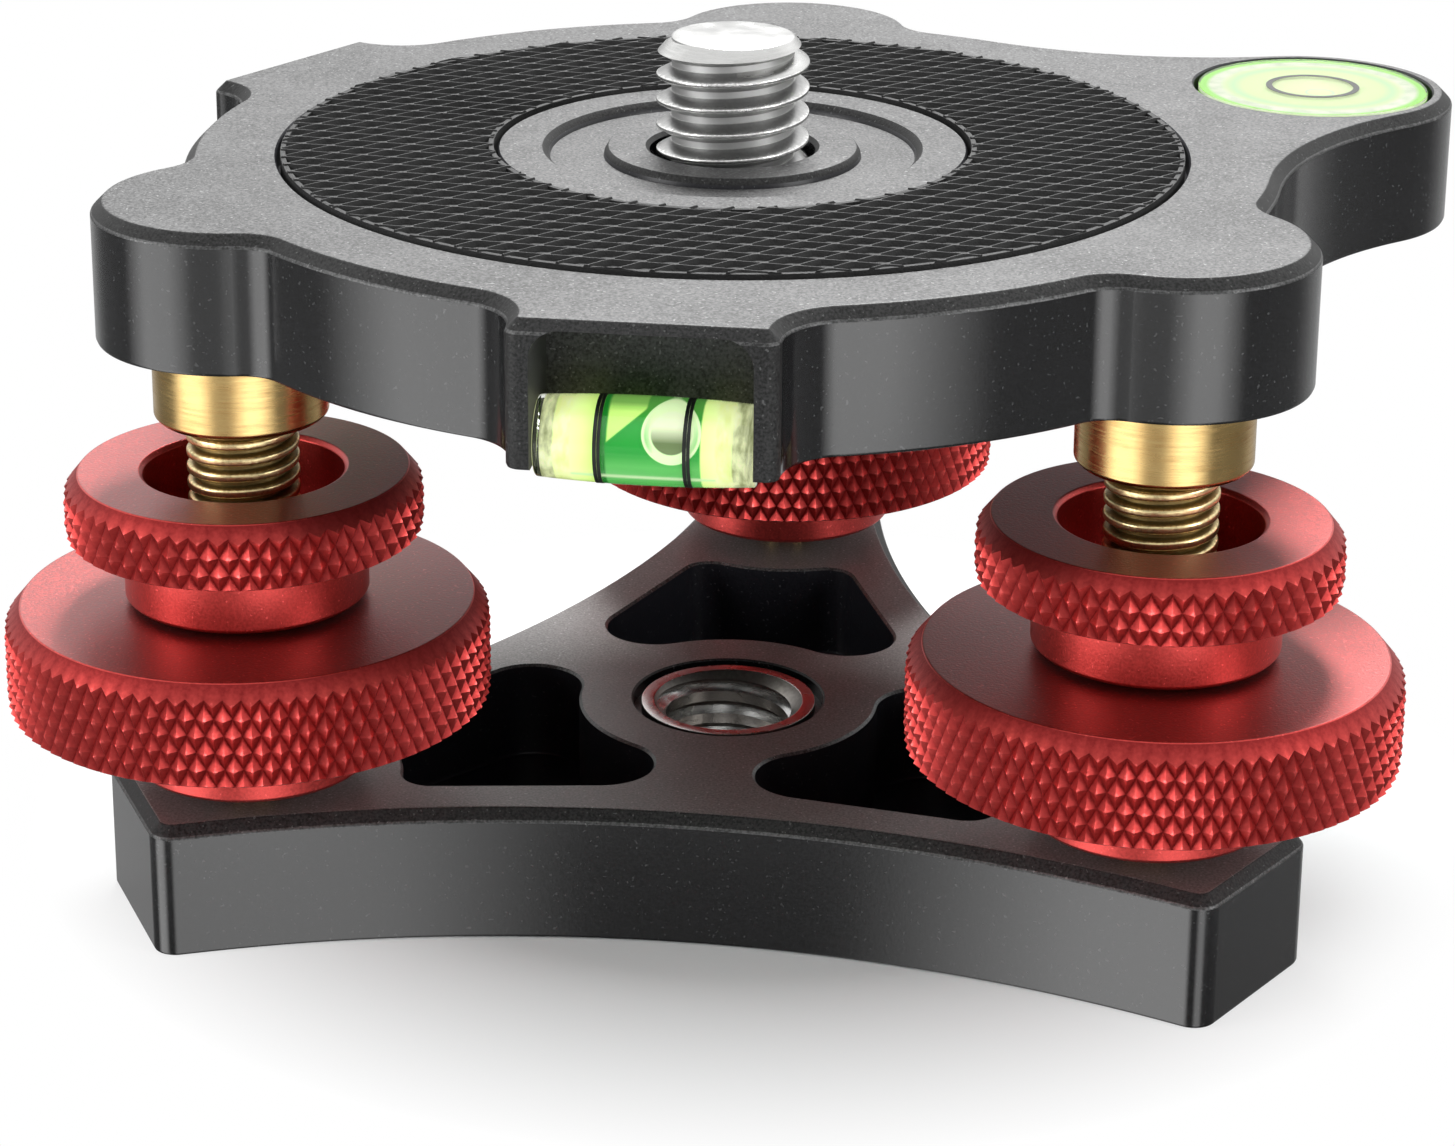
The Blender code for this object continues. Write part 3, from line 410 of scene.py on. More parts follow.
def anodised(name, dark, light, roughness, metallic, gloss=0.5, coat=0.0, depth=0.004 * MM):
    """Blasted and dyed aluminium: speckle between two shades, broad clouds and a few pale flecks."""
    made, tree, shader = fresh_material(name)
    speckle = grain(tree, BEAD).ramp(0.32, 0.68)
    cloud = grain(tree, 40 * BEAD).ramp(0.3, 0.7, -0.12, 0.12)
    fleck = grain(tree, FLECK, detail=0.0).ramp(0.76, 0.80)
    set_shader(
        shader, Base_Color=fleck.mix((speckle + cloud).mix(dark, light), rubbed(light, 1.3)),
        Roughness=speckle.ramp(0, 1, 0.88 * roughness, 1.12 * roughness), Metallic=metallic,
        Specular_IOR_Level=gloss, Coat_Weight=coat, Coat_Roughness=COAT_ROUGHNESS,
    )
    raised(tree, shader, speckle, depth)
    return made


# The flats' mid grey is partly the blast's paler tone and partly a painted sheen of the overhead light.
black_face_and_sheen = anodised("black_blasted_face_and_sheen", grey(0.040), grey(0.165), 0.5, 0.2, 0.25)
# The base's flats are paler and redder than the plate's: painted light that lifts the shade under the
# plate, and a painted red bounce from the dials.
base_face_painted_light = anodised("base_face_painted_light", (0.12, 0.112, 0.11), (0.25, 0.235, 0.23), 0.42, 0.35)
black_wall = anodised(
    "black_milled_wall", grey(0.005), (0.010, 0.010, 0.011), 0.15, 0.0, 0.8, depth=0.0008 * MM
)
black_edge = anodised("black_chamfer", grey(0.006), grey(0.036), 0.5, 0.0, 0.25)
# The arched vial pockets are painted paler than the other black walls: painted light inside the pockets.
arch_black_painted_light = anodised("black_arch_painted_light", grey(0.016), grey(0.070), 0.5, 0.0, 0.3)
pocket_black = anodised("black_pocket", (0.008, 0.008, 0.011), (0.014, 0.014, 0.018), 0.34, 0.0, 0.4)
# Eased edges are painted paler than the chamfer: partly edge wear, partly a painted highlight along the
# corner.
worn_edge_and_highlight = anodised("worn_edge_and_highlight", grey(0.03), grey(0.13), 0.40, 0.5)
red_face = anodised("red_blasted_face", (0.50, 0.036, 0.030), (0.66, 0.056, 0.048), 0.38, 0.9, 0.5, 0.5)
# The top of each dial and ring is a darker copy of the red: painted shade where the plate above shades
# it.
red_top_painted_shade = anodised(
    "red_turned_top_painted_shade", (0.23, 0.019, 0.016), (0.38, 0.036, 0.030), 0.42, 0.9, 0.6, 0.9, depth=0.012 * MM
)
print("nine anodised finishes made")

# %% [markdown]
# The knurled bands carry the same red dye. Their points are painted bright, a painted highlight,
# and the grooves between them are painted dark, painted shade. The mesh will carry a value
# called depth, 0 on a point and 1 in a groove, and the material reads it.

# %% Finishes that read how deep a cut is
def read_depth(tree):
    """How deep a point lies in a cut, from 0 to 1."""
    return put(tree, "ShaderNodeAttribute", out="Fac", attribute_name="depth")


def cut_metal(name, crest, groove, roughness, metallic, crest_highlight_band=0.25, root=0.0):
    """Metal painted by depth: a painted highlight on its crests and painted shade in its grooves."""
    made, tree, shader = fresh_material(name)
    depth = read_depth(tree)
    smear = grain(tree, 0.25 * MM).ramp(0.3, 0.7, -0.6 * crest_highlight_band, 0.6 * crest_highlight_band)
    share = (depth + smear).ramp(0.0, 1.0)
    # The crest band, and with root above 0 a line along the roots, is a painted highlight.
    painted_highlight = share.ramp(0.0, crest_highlight_band, 1.0, 0.0).maths("MAXIMUM", depth.ramp(0.90, 0.97, 0.0, root))
    set_shader(
        shader, Base_Color=painted_highlight.mix(share.mix(crest, groove), rubbed(crest, 1.5)),
        Roughness=share.ramp(0.0, 1.0, roughness, roughness + 0.18), Metallic=metallic,
    )
    raised(tree, shader, grain(tree, 0.10 * MM), 0.006 * MM)
    return made


# Knurl and threads are painted by depth: painted highlight on crests, painted shade in grooves; the
# steel thread also has a painted highlight along its roots.
red_knurl = cut_metal("red_knurl", (0.60, 0.065, 0.058), (0.26, 0.018, 0.018), 0.32, 0.85)
olive_thread = cut_metal("olive_brass_thread", (0.66, 0.53, 0.27), (0.30, 0.22, 0.09), 0.30, 1.0)
steel_thread = cut_metal(
    "bright_steel_thread", (0.62, 0.62, 0.61), grey(0.34), 0.24, 1.0, crest_highlight_band=0.2, root=0.5
)
# The thread inside the bushing is a darker copy of the bright steel: painted shade inside the bore.
socket_thread_painted_shade = cut_metal("socket_steel_painted_shade", (0.30, 0.28, 0.26), (0.12, 0.11, 0.10), 0.25, 1.0)


def turned_metal(name, colour, shadow, roughness, streak):
    """Bare turned metal, with fine marks that run round it and a few stains."""
    made, tree, shader = fresh_material(name)
    marks = grain(tree, streak, detail=3.0, stretch=(14, 14, 1))
    stain = grain(tree, 2.2 * MM, detail=4.0).ramp(0.35, 0.7)
    set_shader(
        shader, Base_Color=(marks.ramp(0.3, 0.7) * stain).mix(colour, shadow),
        Roughness=marks.ramp(0.3, 0.7, roughness - 0.06, roughness + 0.08), Metallic=1.0,
    )
    raised(tree, shader, marks, 0.004 * MM)
    return made


bright_brass = turned_metal("bright_brass", (0.67, 0.465, 0.19), (0.48, 0.28, 0.10), 0.24, 0.16 * MM)
bright_steel = turned_metal("bright_steel", (0.68, 0.68, 0.67), (0.50, 0.50, 0.49), 0.24, 0.12 * MM)
spring_steel = turned_metal("spring_steel", (0.30, 0.30, 0.31), (0.18, 0.17, 0.17), 0.36, 0.2 * MM)
print("seven finishes for knurls, threads and bare metal made")

# %% [markdown]
# The soft and the clear pieces: the black rubber of the pad, the white plastic of the ball seats,
# the ink of the printed lines, and clear acrylic for the vials.

# %% Rubber, plastic and acrylic
def moulded(name, dark, light, roughness, size, depth):
    """A moulded surface with a matt tooth."""
    made, tree, shader = fresh_material(name)
    tooth = grain(tree, size, detail=3.0).ramp(0.3, 0.7)
    rough = tooth.ramp(0, 1, roughness, roughness + 0.12)
    set_shader(shader, Base_Color=tooth.mix(dark, light), Roughness=rough)
    raised(tree, shader, tooth, depth)
    return made


rubber_side = moulded("rubber_side", grey(0.004), grey(0.014), 0.6, 0.13 * MM, 0.02 * MM)
white_acetal = moulded(
    "white_acetal", (0.74, 0.74, 0.70), (0.82, 0.82, 0.79), 0.4, 0.3 * MM, 0.004 * MM
)
black_ink = moulded(
    "black_ink", (0.006, 0.008, 0.006), (0.014, 0.016, 0.014), 0.35, 0.1 * MM, 0.002 * MM
)


def ribbed_rubber():
    """Rubber with a coarse dark floor, and ridges painted grey as a painted highlight."""
    made, tree, shader = fresh_material("black_rubber")
    tooth = grain(tree, 0.13 * MM, detail=3.0).ramp(0.3, 0.7)
    # The ridges are painted grey by depth: a painted highlight on the crests.
    ridge_highlight = (read_depth(tree) + tooth.ramp(0, 1, -0.1, 0.2)).ramp(0.0, 0.30, 1.0, 0.0)
    floor = tooth.mix(grey(0.002), grey(0.022))
    set_shader(
        shader, Base_Color=ridge_highlight.mix(floor, grey(0.30)), Roughness=tooth.ramp(0, 1, 0.5, 0.66),
        Specular_IOR_Level=0.28,
    )
    raised(tree, shader, tooth, 0.045 * MM)
    return made


def clear_acrylic():
    """Clear acrylic with a trace of haze."""
    made, tree, shader = fresh_material("clear_acrylic")
    haze = grain(tree, 1.5 * MM, detail=3.0).ramp(0.35, 0.75, 0.01, 0.06)
    set_shader(
        shader, Roughness=haze, IOR=1.45, Transmission_Weight=1.0, Base_Color=(0.97, 0.99, 0.96)
    )
    return made


black_rubber = ribbed_rubber()
acrylic = clear_acrylic()
print("rubber, plastic, ink and acrylic made")

# %% [markdown]
# The vials hold a yellow-green fluid with a little painted glow: painted light that keeps the dye
# bright inside the clear plastic. Each fluid is painted in layers, one over the other: dye, plugs,
# painted reflections and shade, and the bubble. All measures are in millimetres from the vial's own
# middle, so the picture stays with the piece.

# %% Fluids
def glowing(shader, colour, strength):
    """Wire a colour to the surface and to a glow, painted light that keeps the dye bright inside clear
    plastic.
    """
    set_shader(
        shader, Base_Color=colour, Emission_Color=colour, Emission_Strength=strength, Roughness=0.25
    )


def own_place(tree):
    """A point's place in its piece, and its x outwards, y down and z along a tube in mm."""
    own = put(tree, "ShaderNodeAttribute", out="Vector", attribute_name="own_place")
    return own, [part / MM for part in own.parts()]


def vial_fluid(side, bubble):
    """Dyed fluid with pale plugs and a bubble, painted with light: a dark middle and pale wedge for
    refraction, a highlight line, streaked clear ends, a lit and shaded bubble.
    """
    made, tree, shader = fresh_material(side + "_tube_fluid")
    own, (outwards, down, along) = own_place(tree)
    reach = abs(along)
    rise = outwards * -0.292 - down * 0.956
    streak = grain(tree, 0.5 * MM, 3.0, (10 / 3, 2, 1), own).ramp(0.32, 0.68)
    # The middle is painted darker green, darker again along a band round the tube: painted refraction
    # and shade.
    deep = layered(
        (0.10, 0.46, 0.10),
        (rise.ramp(-1.3, -0.6), (0.0, 0.30, 0.022)),
        (rise.ramp(0.9, 1.8), (0.08, 0.30, 0.05)),
    )
    over_slope = (rise - (along + 1.85) * 0.86).ramp(-0.06, 0.06)
    painted_pale_wedge = along.inside(-1.92, 0.1) * over_slope * rise.ramp(1.5, 1.9, 1.0, 0.25)
    aside = along - bubble
    upper = rise - 0.5
    spread = distance(aside, upper)
    green_sides = abs(aside).ramp(0.9, 1.4) * upper.ramp(-0.9, 0.5, 0.9, 0.25)
    rim = (green_sides * spread.inside(1.2, 1.46)).mix((0.72, 0.90, 0.52), (0.03, 0.42, 0.05))
    pupil = upper.ramp(-0.5, 0.35).mix((0.13, 0.19, 0.07), (0.74, 0.80, 0.56))
    # Painted light: the pale wedge stands for refraction, the pale line low on the tube is a painted
    # highlight, the streaked ends a painted reflection, and the bubble's pale rim, green crescents, pale
    # top and dark bottom are painted reflection and shade.
    colour = layered(
        (0.66, 0.96, 0.22),
        (reach.ramp(2.4, 3.9), (0.80, 0.94, 0.42)),
        (along.inside(-2.28, 3.15), deep),
        (painted_pale_wedge, (0.58, 0.90, 0.22)),
        (along.inside(-2.28, -2.0), (0.01, 0.20, 0.02)),
        (rise.inside(-1.86, -1.74), (0.55, 0.72, 0.42)),
        (reach.inside(3.95, 9), streak.mix((0.64, 0.72, 0.28), (0.84, 0.90, 0.50))),
        (reach.inside(4.85, 9), streak.mix((0.26, 0.29, 0.13), (0.78, 0.82, 0.50))),
        (spread.ramp(1.58, 1.64, 1.0, 0.0), spread.ramp(1.06, 1.14, 1.0, 0.0).mix(rim, pupil)),
    )
    glowing(shader, colour, 0.62)
    return made


def disc_fluid():
    """The dye under the round lens: palest in the middle, a whitish band that is a painted reflection, a
    green rim, and a bubble drawn as a painted pale ring.
    """
    made, tree, shader = fresh_material("disc_fluid")
    x, y, _ = own_place(tree)[1]
    reach = distance(x, y)
    streak = grain(tree, 1.1 * MM, detail=3.0).ramp(0.35, 0.65)
    # The whitish band is a painted reflection of the lens's wall, and the bubble is only a painted pale
    # ring.
    colour = layered(
        (0.78, 0.87, 0.48),
        (reach.ramp(1, 4.6), (0.68, 0.85, 0.40)),
        (reach.inside(4.9, 5.5, 0.3), (0.50, 0.80, 0.42)),
        (reach.ramp(5.6, 6.1), streak.mix((0.60, 0.66, 0.50), (0.80, 0.80, 0.68))),
        (reach.ramp(6.7, 7.0), (0.26, 0.70, 0.03)),
        (distance(x - 0.45, y + 1.25).inside(0.84, 0.94) * 0.7, (0.45, 0.78, 0.60)),
    )
    glowing(shader, colour, 0.04)
    return made


BUBBLE_SHIFTS = {"front": 1.55, "side": 0.3}
tube_fluids = {side: vial_fluid(side, shift) for side, shift in BUBBLE_SHIFTS.items()}
bullseye_fluid = disc_fluid()
print("fluids for", len(tube_fluids), "tubes and one disc made")

# %% [markdown]
# Each finished piece has to say three things: the finish it shows, the body that it rides on, and
# the nodes that it stands for. One helper paints it and another says the rest. A piece can also carry
# values that its material reads.

# %% Handing a piece over
FLAT_WEIGHT = 75


def paint(solid, finishes, pick=None):
    """Give a solid its finishes; a face keeps what a painted tool left, and pick chooses the others."""
    mesh = solid.data
    chosen = [
        face.material_index or (pick(face.center, face.normal) if pick else 0)
        for face in mesh.polygons
    ]
    mesh.materials.clear()
    for finish in finishes:
        mesh.materials.append(finish)
    for face, index in zip(mesh.polygons, chosen):
        face.material_index = index
    return solid


def mark_points(solid, name, kind, key, values):
    """Write one value for each point of a mesh under a name that a material can read."""
    layer = solid.data.attributes.new(name, kind, "POINT")
    for spot, value in zip(layer.data, values):
        setattr(spot, key, value)


def mark_depth(solid, depth_of):
    """Write how deep each point lies in a cut, held between 0 and 1."""
    depths = [max(0.0, min(1.0, depth_of(point.co))) for point in solid.data.vertices]
    mark_points(solid, "depth", "FLOAT", "value", depths)


def mark_places(solid):
    """Write each point's own place, before the piece is moved."""
    places = [point.co.copy() for point in solid.data.vertices]
    mark_points(solid, "own_place", "FLOAT_VECTOR", "vector", places)


def crisp(solid):
    """Weigh normals by face area, so that a flat stays flat right up to its eased corner."""
    weigh = solid.modifiers.new("weigh", "WEIGHTED_NORMAL")
    weigh.keep_sharp = True
    weigh.weight = FLAT_WEIGHT
    settled(solid)


def hand_over(solid, body, slot, *nodes):
    """Let a piece ride on its body and stand for its nodes."""
    crisp(solid)
    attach(solid, body)
    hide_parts(*nodes)
    solid.data.calc_loop_triangles()
    print(f"{solid.name}: {len(solid.data.loop_triangles)} triangles on {body}")


FINISHES = [black_wall, black_face_and_sheen, black_edge, pocket_black, worn_edge_and_highlight, base_face_painted_light, arch_black_painted_light]
WALL, FACE, CHAMFER, POCKET, WORN_AND_HIGHLIGHT, BASE_FACE, ARCH = range(len(FINISHES))
print("the plates share", len(FINISHES), "finishes")

# %% [markdown]
# The base is a three-armed plate with hollow sides. It is milled 8.5 mm thick, with a chamfer
# round its top rim and three deep pockets that save weight. A pocket hugs the bushing on one
# side and the leg on the other, and it ends in two round bulbs where the milling tool turned.

# %% The outline of the base
ARM_HALF_WIDTH = 7.28 * MM
ARM_END = 7.9 * MM
ARM_CORNER = 1.5 * MM
WAIST_SHARE = 0.5786
CHAMFER_WIDTH = 0.7 * MM
RIM_EASE = 0.09 * MM
FOOT_EASE = 0.24 * MM
POCKET_DEPTH = 6.5 * MM
POCKET_RIM = 0.16 * MM
POCKET_RIB = 3.5 * MM
COUNTERBORE_RADIUS = 6.2 * MM
OVERRUN = 1.0 * MM
MOUTH_BEVEL = 0.12 * MM


def base_circles():
    """Two blunt corners on each arm, and the wide hollow between two arms."""
    waist = WAIST_SHARE * LEG_CIRCLE
    outwards = point_at(1, math.radians(60))
    at_leg = Vector((LEG_CIRCLE, ARM_HALF_WIDTH))
    beyond = at_leg.dot(outwards) - waist
    radius = (at_leg - waist * outwards).length_squared / (2 * beyond)
    hollow = (waist + radius) * outwards
    along = LEG_CIRCLE + ARM_END - ARM_CORNER
    across = hollow.y - math.sqrt((radius + ARM_CORNER) ** 2 - (hollow.x - along) ** 2)
    circles = []
    for azimuth in sorted(angle % math.tau for angle in AZIMUTHS.values()):
        turn = Matrix.Rotation(azimuth, 2)
        circles.append((turn @ Vector((along, -across)), ARM_CORNER, 1))
        circles.append((turn @ Vector((along, across)), ARM_CORNER, 1))
        circles.append((turn @ hollow, radius, -1))
    return circles


def pocket_circles(azimuth):
    """A pocket hollows against the bushing and against the leg, with a bulb at each corner."""
    bulb_radius, bulb_offset = 3.3 * MM, 6.5 * MM
    corner_radius, corner_offset = 1.9 * MM, 4.1 * MM
    leg_radius = 9.2 * MM
    inner_radius = COUNTERBORE_RADIUS + POCKET_RIB
    bulb = Vector((math.sqrt((inner_radius + bulb_radius) ** 2 - bulb_offset ** 2), bulb_offset))
    back = math.sqrt((leg_radius + corner_radius) ** 2 - corner_offset ** 2)
    corner = Vector((LEG_CIRCLE - back, corner_offset))
    mirror = Vector((1, -1))
    turn = Matrix.Rotation(azimuth, 2)
    return [(turn @ centre, radius, side) for centre, radius, side in (
        (bulb * mirror, bulb_radius, 1),
        (corner * mirror, corner_radius, 1),
        (Vector((LEG_CIRCLE, 0)), leg_radius, -1),
        (corner, corner_radius, 1),
        (bulb, bulb_radius, 1),
        (Vector((0, 0)), inner_radius, -1),
    )]


print("the base's rim has", len(belt(base_circles())), "points")

# %% [markdown]
# The plate is the outline stacked at several heights, a little smaller wherever an edge is
# broken. Its pockets are cut afterwards, and each cutting tool is painted with the finish that it
# leaves, so the cut faces already have the right one.

# %% The base plate
def plate_blank(name, circles, bottom, top):
    """A plate with a broken lower edge, a plain wall, and a chamfer whose two edges are eased."""
    edge = top - CHAMFER_WIDTH
    solid = stacked(name, circles, [
        (bottom, -FOOT_EASE),
        (bottom + 0.3 * FOOT_EASE, -0.3 * FOOT_EASE),
        (bottom + FOOT_EASE, 0),
        (edge - RIM_EASE, 0),
        (edge, -0.35 * RIM_EASE),
        (edge + RIM_EASE, -1.2 * RIM_EASE),
        (top - RIM_EASE, -CHAMFER_WIDTH + 0.8 * RIM_EASE),
        (top - 0.25 * RIM_EASE, -CHAMFER_WIDTH),
        (top, -CHAMFER_WIDTH - RIM_EASE),
    ])
    return paint(solid, FINISHES)


def rim_finish(top, flat):
    """The blasted top, the dark chamfer with bright corners, partly edge wear and partly a painted
    highlight, and the milled wall.
    """
    def pick(centre, normal):
        if normal.z > 0.9:
            return flat
        at_rim = centre.z > top - CHAMFER_WIDTH - RIM_EASE and normal.z > 0.2
        if at_rim and centre.z < top - CHAMFER_WIDTH + 0.9 * RIM_EASE:
            return WORN_AND_HIGHLIGHT
        return CHAMFER if at_rim else WALL
    return pick


def pocket_finish(centre, normal):
    """Dark walls and floor under a bright broken rim, partly edge wear and partly a painted highlight;
    the tool's normals point into the metal.
    """
    return WORN_AND_HIGHLIGHT if -0.9 < normal.z < -0.5 and centre.z > BASE_TOP - 1 * MM else POCKET


base = plate_blank("dressed_base_plate", base_circles(), BASE_BOTTOM, BASE_TOP)
pocket_floor = BASE_TOP - POCKET_DEPTH
for azimuth in AZIMUTHS.values():
    pocket = stacked("pocket", pocket_circles(azimuth), [
        (pocket_floor, -0.3 * MM),
        (pocket_floor + 0.1 * MM, -0.1 * MM),
        (pocket_floor + 0.3 * MM, 0),
        (BASE_TOP - POCKET_RIM, 0),
        (BASE_TOP, POCKET_RIM),
        (BASE_TOP + OVERRUN, POCKET_RIM + OVERRUN),
    ])
    worked(base, paint(pocket, FINISHES, pocket_finish))
print("base with three pockets:", len(base.data.polygons), "faces")

# %% [markdown]
# Under each leg a stepped bore takes the ball seat, and the middle takes the steel bushing with a
# shallow counterbore round its flange. The same stepped tools were used in the packed model, so
# the bores here repeat its sizes.

# %% Bores in the base
SOCKET_RADIUS = radius_of("socket_cap_left") + 0.3 * MM
SOCKET_WEB = 0.9 * MM
SOCKET_MOUTH = 3.2 * MM
SOCKET_BEVEL = 0.3 * MM
SOCKET_FOOT_BEVEL = 0.2 * MM
FLANGE_RADIUS = radius_of("tripod_bushing")
FLANGE_THICKNESS = 0.72 * MM
BUSHING_BOTTOM, BUSHING_TOP = heights("tripod_bushing")
BUSHING_BODY_RADIUS = 5.1 * MM
FIT = 0.05 * MM
flange_floor = BUSHING_TOP - FLANGE_THICKNESS - FIT
under_base, over_base = BASE_BOTTOM - OVERRUN, BASE_TOP + OVERRUN

for place in LEGS.values():
    bore = turned("ball_bore", [
        (0, over_base),
        (SOCKET_MOUTH + SOCKET_BEVEL + OVERRUN, over_base),
        (SOCKET_MOUTH, BASE_TOP - SOCKET_BEVEL),
        (SOCKET_MOUTH, BASE_TOP - SOCKET_WEB),
        (SOCKET_RADIUS, BASE_TOP - SOCKET_WEB),
        (SOCKET_RADIUS, BASE_BOTTOM + SOCKET_FOOT_BEVEL),
        (SOCKET_RADIUS + SOCKET_FOOT_BEVEL + OVERRUN, under_base),
        (0, under_base),
    ], ease=0)
    worked(base, moved_to(bore, place - AXIS))
worked(base, turned("bushing_bore", [
    (0, over_base),
    (COUNTERBORE_RADIUS + OVERRUN, over_base),
    (COUNTERBORE_RADIUS, BASE_TOP - MOUTH_BEVEL),
    (COUNTERBORE_RADIUS, flange_floor),
    (BUSHING_BODY_RADIUS + FIT, flange_floor),
    (BUSHING_BODY_RADIUS + FIT, under_base),
    (0, under_base),
], ease=0))
paint(base, FINISHES, rim_finish(BASE_TOP, BASE_FACE))
hand_over(moved_to(base, AXIS), "base", "black_anodised", "base_plate")

# %% [markdown]
# Threads and knurls are the same small shape over and over, placed by a rule, which is what
# Geometry Nodes are for. These helpers start a geometry tree, end it, and run it once.

# %% Helpers for geometry trees
def new_tree(name, **inputs):
    """An empty geometry tree, and a wire for each input; inputs are names listed by their kind."""
    tree = bpy.data.node_groups.new(name, "GeometryNodeTree")
    for kind, labels in inputs.items():
        for label in labels.split():
            tree.interface.new_socket(label, in_out="INPUT", socket_type="NodeSocket" + kind)
    tree.interface.new_socket("shape", in_out="OUTPUT", socket_type="NodeSocketGeometry")
    sockets = tree.nodes.new("NodeGroupInput").outputs
    return tree, SimpleNamespace(**{socket.name: Wire(socket) for socket in sockets if socket.name})


def ended(tree, shape, finish):
    """End a tree with the finish on real geometry."""
    real = put(tree, "GeometryNodeRealizeInstances", {"Geometry": shape})
    done = put(tree, "GeometryNodeSetMaterial", {"Geometry": real, "Material": finish})
    put(tree, "NodeGroupOutput", {0: done})
    return tree


def cut_into_triangles(tree, shape):
    """Cut every four-sided face along its shorter diagonal."""
    return put(tree, "GeometryNodeTriangulate", {"Mesh": shape}, quad_method="SHORTEST_DIAGONAL")


def grown(name, tree, **values):
    """Run a geometry tree and keep its result as a plain mesh."""
    holder = linked(name, bpy.data.meshes.new(name))
    growth = holder.modifiers.new("growth", "NODES")
    growth.node_group = tree
    for item in tree.interface.items_tree:
        if item.in_out == "INPUT":
            growth[item.identifier] = values[item.name]
    return settled(holder)


print("helpers made:", ", ".join(helper.__name__ for helper in (new_tree, ended, grown)))

# %% [markdown]
# The first tree makes a thread: a spiral carries a trapezoid that becomes one long ridge. The
# ridge is fused with a plain core, and later trimmed by the finished blank.

# %% A tree for screw threads
def thread_tree():
    """One ridge on a spiral, from its root radius out to its crest."""
    tree, given = new_tree(
        "thread_ridge", Float="root crest pitch turns root_width crest_width rounding", Int="steps",
        Material="finish",
    )
    halfway = (given.root + given.crest) * 0.5
    spiral = put(tree, "GeometryNodeCurveSpiral", {
        "Resolution": given.steps, "Rotations": given.turns, "Start Radius": halfway,
        "End Radius": halfway, "Height": given.pitch * given.turns, "Reverse": True,
    })
    upright = put(tree, "GeometryNodeSetCurveNormal", {"Curve": spiral}, mode="Z_UP")
    ridge = put(tree, "GeometryNodeCurvePrimitiveQuadrilateral", {
        "Height": given.crest - given.root, "Bottom Width": given.crest_width,
        "Top Width": given.root_width, "Offset": 0.0,
    }, mode="TRAPEZOID")
    soft = put(tree, "GeometryNodeFilletCurve", {
        "Curve": ridge, "Radius": given.rounding, "Count": 3, "Limit Radius": True,
    }, mode="POLY")
    turn = put(tree, "GeometryNodeTransform", {"Geometry": soft, "Rotation": (0, 0, math.pi / 2)})
    swept = put(tree, "GeometryNodeCurveToMesh", {
        "Curve": upright, "Profile Curve": turn, "Fill Caps": True,
    })
    return ended(tree, swept, given.finish)


THREAD_TREE = thread_tree()
RIDGE_SINK = 0.1 * MM
CUT_SHARES = (0.84, 0.12, 0.05)
ROLLED_SHARES = (0.96, 0.46, 0.20)


def threaded_rod(name, root, crest, pitch, bottom, top, crest_at, finish, steps=64, shares=CUT_SHARES):
    """A rod with a thread past both its ends; crest_at is a height that a crest passes in front.

    The shares of the pitch are the ridge's width at its root and at its crest, and its rounding.
    """
    lead = crest_at + pitch / 4
    start = lead - pitch * (math.ceil((lead - bottom) / pitch) + 2)
    turns = math.ceil((top - start) / pitch) + 2
    root_width, crest_width, rounding = (share * pitch for share in shares)
    ridge = grown(
        name + "_ridge", THREAD_TREE, root=root - RIDGE_SINK, crest=crest, pitch=pitch,
        turns=float(turns), root_width=root_width, crest_width=crest_width, rounding=rounding,
        steps=steps, finish=finish,
    )
    core = band(0, root, start + (turns + 1) * pitch, start - pitch)
    return worked(turned(name, core, around=steps, ease=0), moved_to(ridge, (0, 0), start), "UNION")


print("the thread tree has", len(THREAD_TREE.nodes), "nodes")

# %% [markdown]
# The mounting screw is the brightest piece: a 3/8 inch camera thread with a flat, blank tip. It
# shows about four crests above the plate. Its flanged head hides in the plate and is turned from
# below with a hex key. The first full crest stands just under the cone of the tip.

# %% The mounting screw
SCREW_BOTTOM, SCREW_TOP = heights("mounting_screw")
SCREW_RADIUS = 4.74 * MM
SCREW_ROOT = 3.80 * MM
SCREW_PITCH = 25.4 / 16 * MM
SCREW_CREST_HEIGHT = 50.6 * MM
TIP_RADIUS = 3.77 * MM
TIP_HEIGHT = 1.1 * MM
TIP_FINISH_HEIGHT = 51 * MM
HEAD_RADIUS = radius_of("mounting_screw")
HEAD_TOP = SCREW_BOTTOM + 2.3 * MM
HEX_CORNER = 3.175 * MM / math.cos(math.radians(30))
HEX_DEPTH = 3.6 * MM
HEX_CONE = 0.8 * MM

screw = threaded_rod(
    "dressed_mounting_screw", SCREW_ROOT, SCREW_RADIUS, SCREW_PITCH, HEAD_TOP, SCREW_TOP,
    SCREW_CREST_HEIGHT, steel_thread,
)
worked(screw, turned("screw_blank", [
    (0, SCREW_TOP),
    (TIP_RADIUS, SCREW_TOP),
    (SCREW_RADIUS, SCREW_TOP - TIP_HEIGHT),
    (SCREW_RADIUS, HEAD_TOP - OVERRUN),
    (0, HEAD_TOP - OVERRUN),
]), "INTERSECT")
worked(screw, turned("screw_head", band(0, HEAD_RADIUS, HEAD_TOP, SCREW_BOTTOM)), "UNION")
worked(screw, turned("hex_socket", [
    (0, SCREW_BOTTOM + HEX_DEPTH + HEX_CONE),
    (HEX_CORNER, SCREW_BOTTOM + HEX_DEPTH),
    (HEX_CORNER, SCREW_BOTTOM - OVERRUN),
    (0, SCREW_BOTTOM - OVERRUN),
], around=6, ease=0))
mark_depth(screw, lambda place: (SCREW_RADIUS - place.xy.length) / (SCREW_RADIUS - SCREW_ROOT))


def screw_finish(centre, normal):
    """Plain metal on the tip and the head, cut metal on the thread."""
    on_tip = normal.z > 0.5 and centre.z > TIP_FINISH_HEIGHT
    return int(abs(normal.z) > 0.98 or centre.z < HEAD_TOP + 0.01 * MM or on_tip)


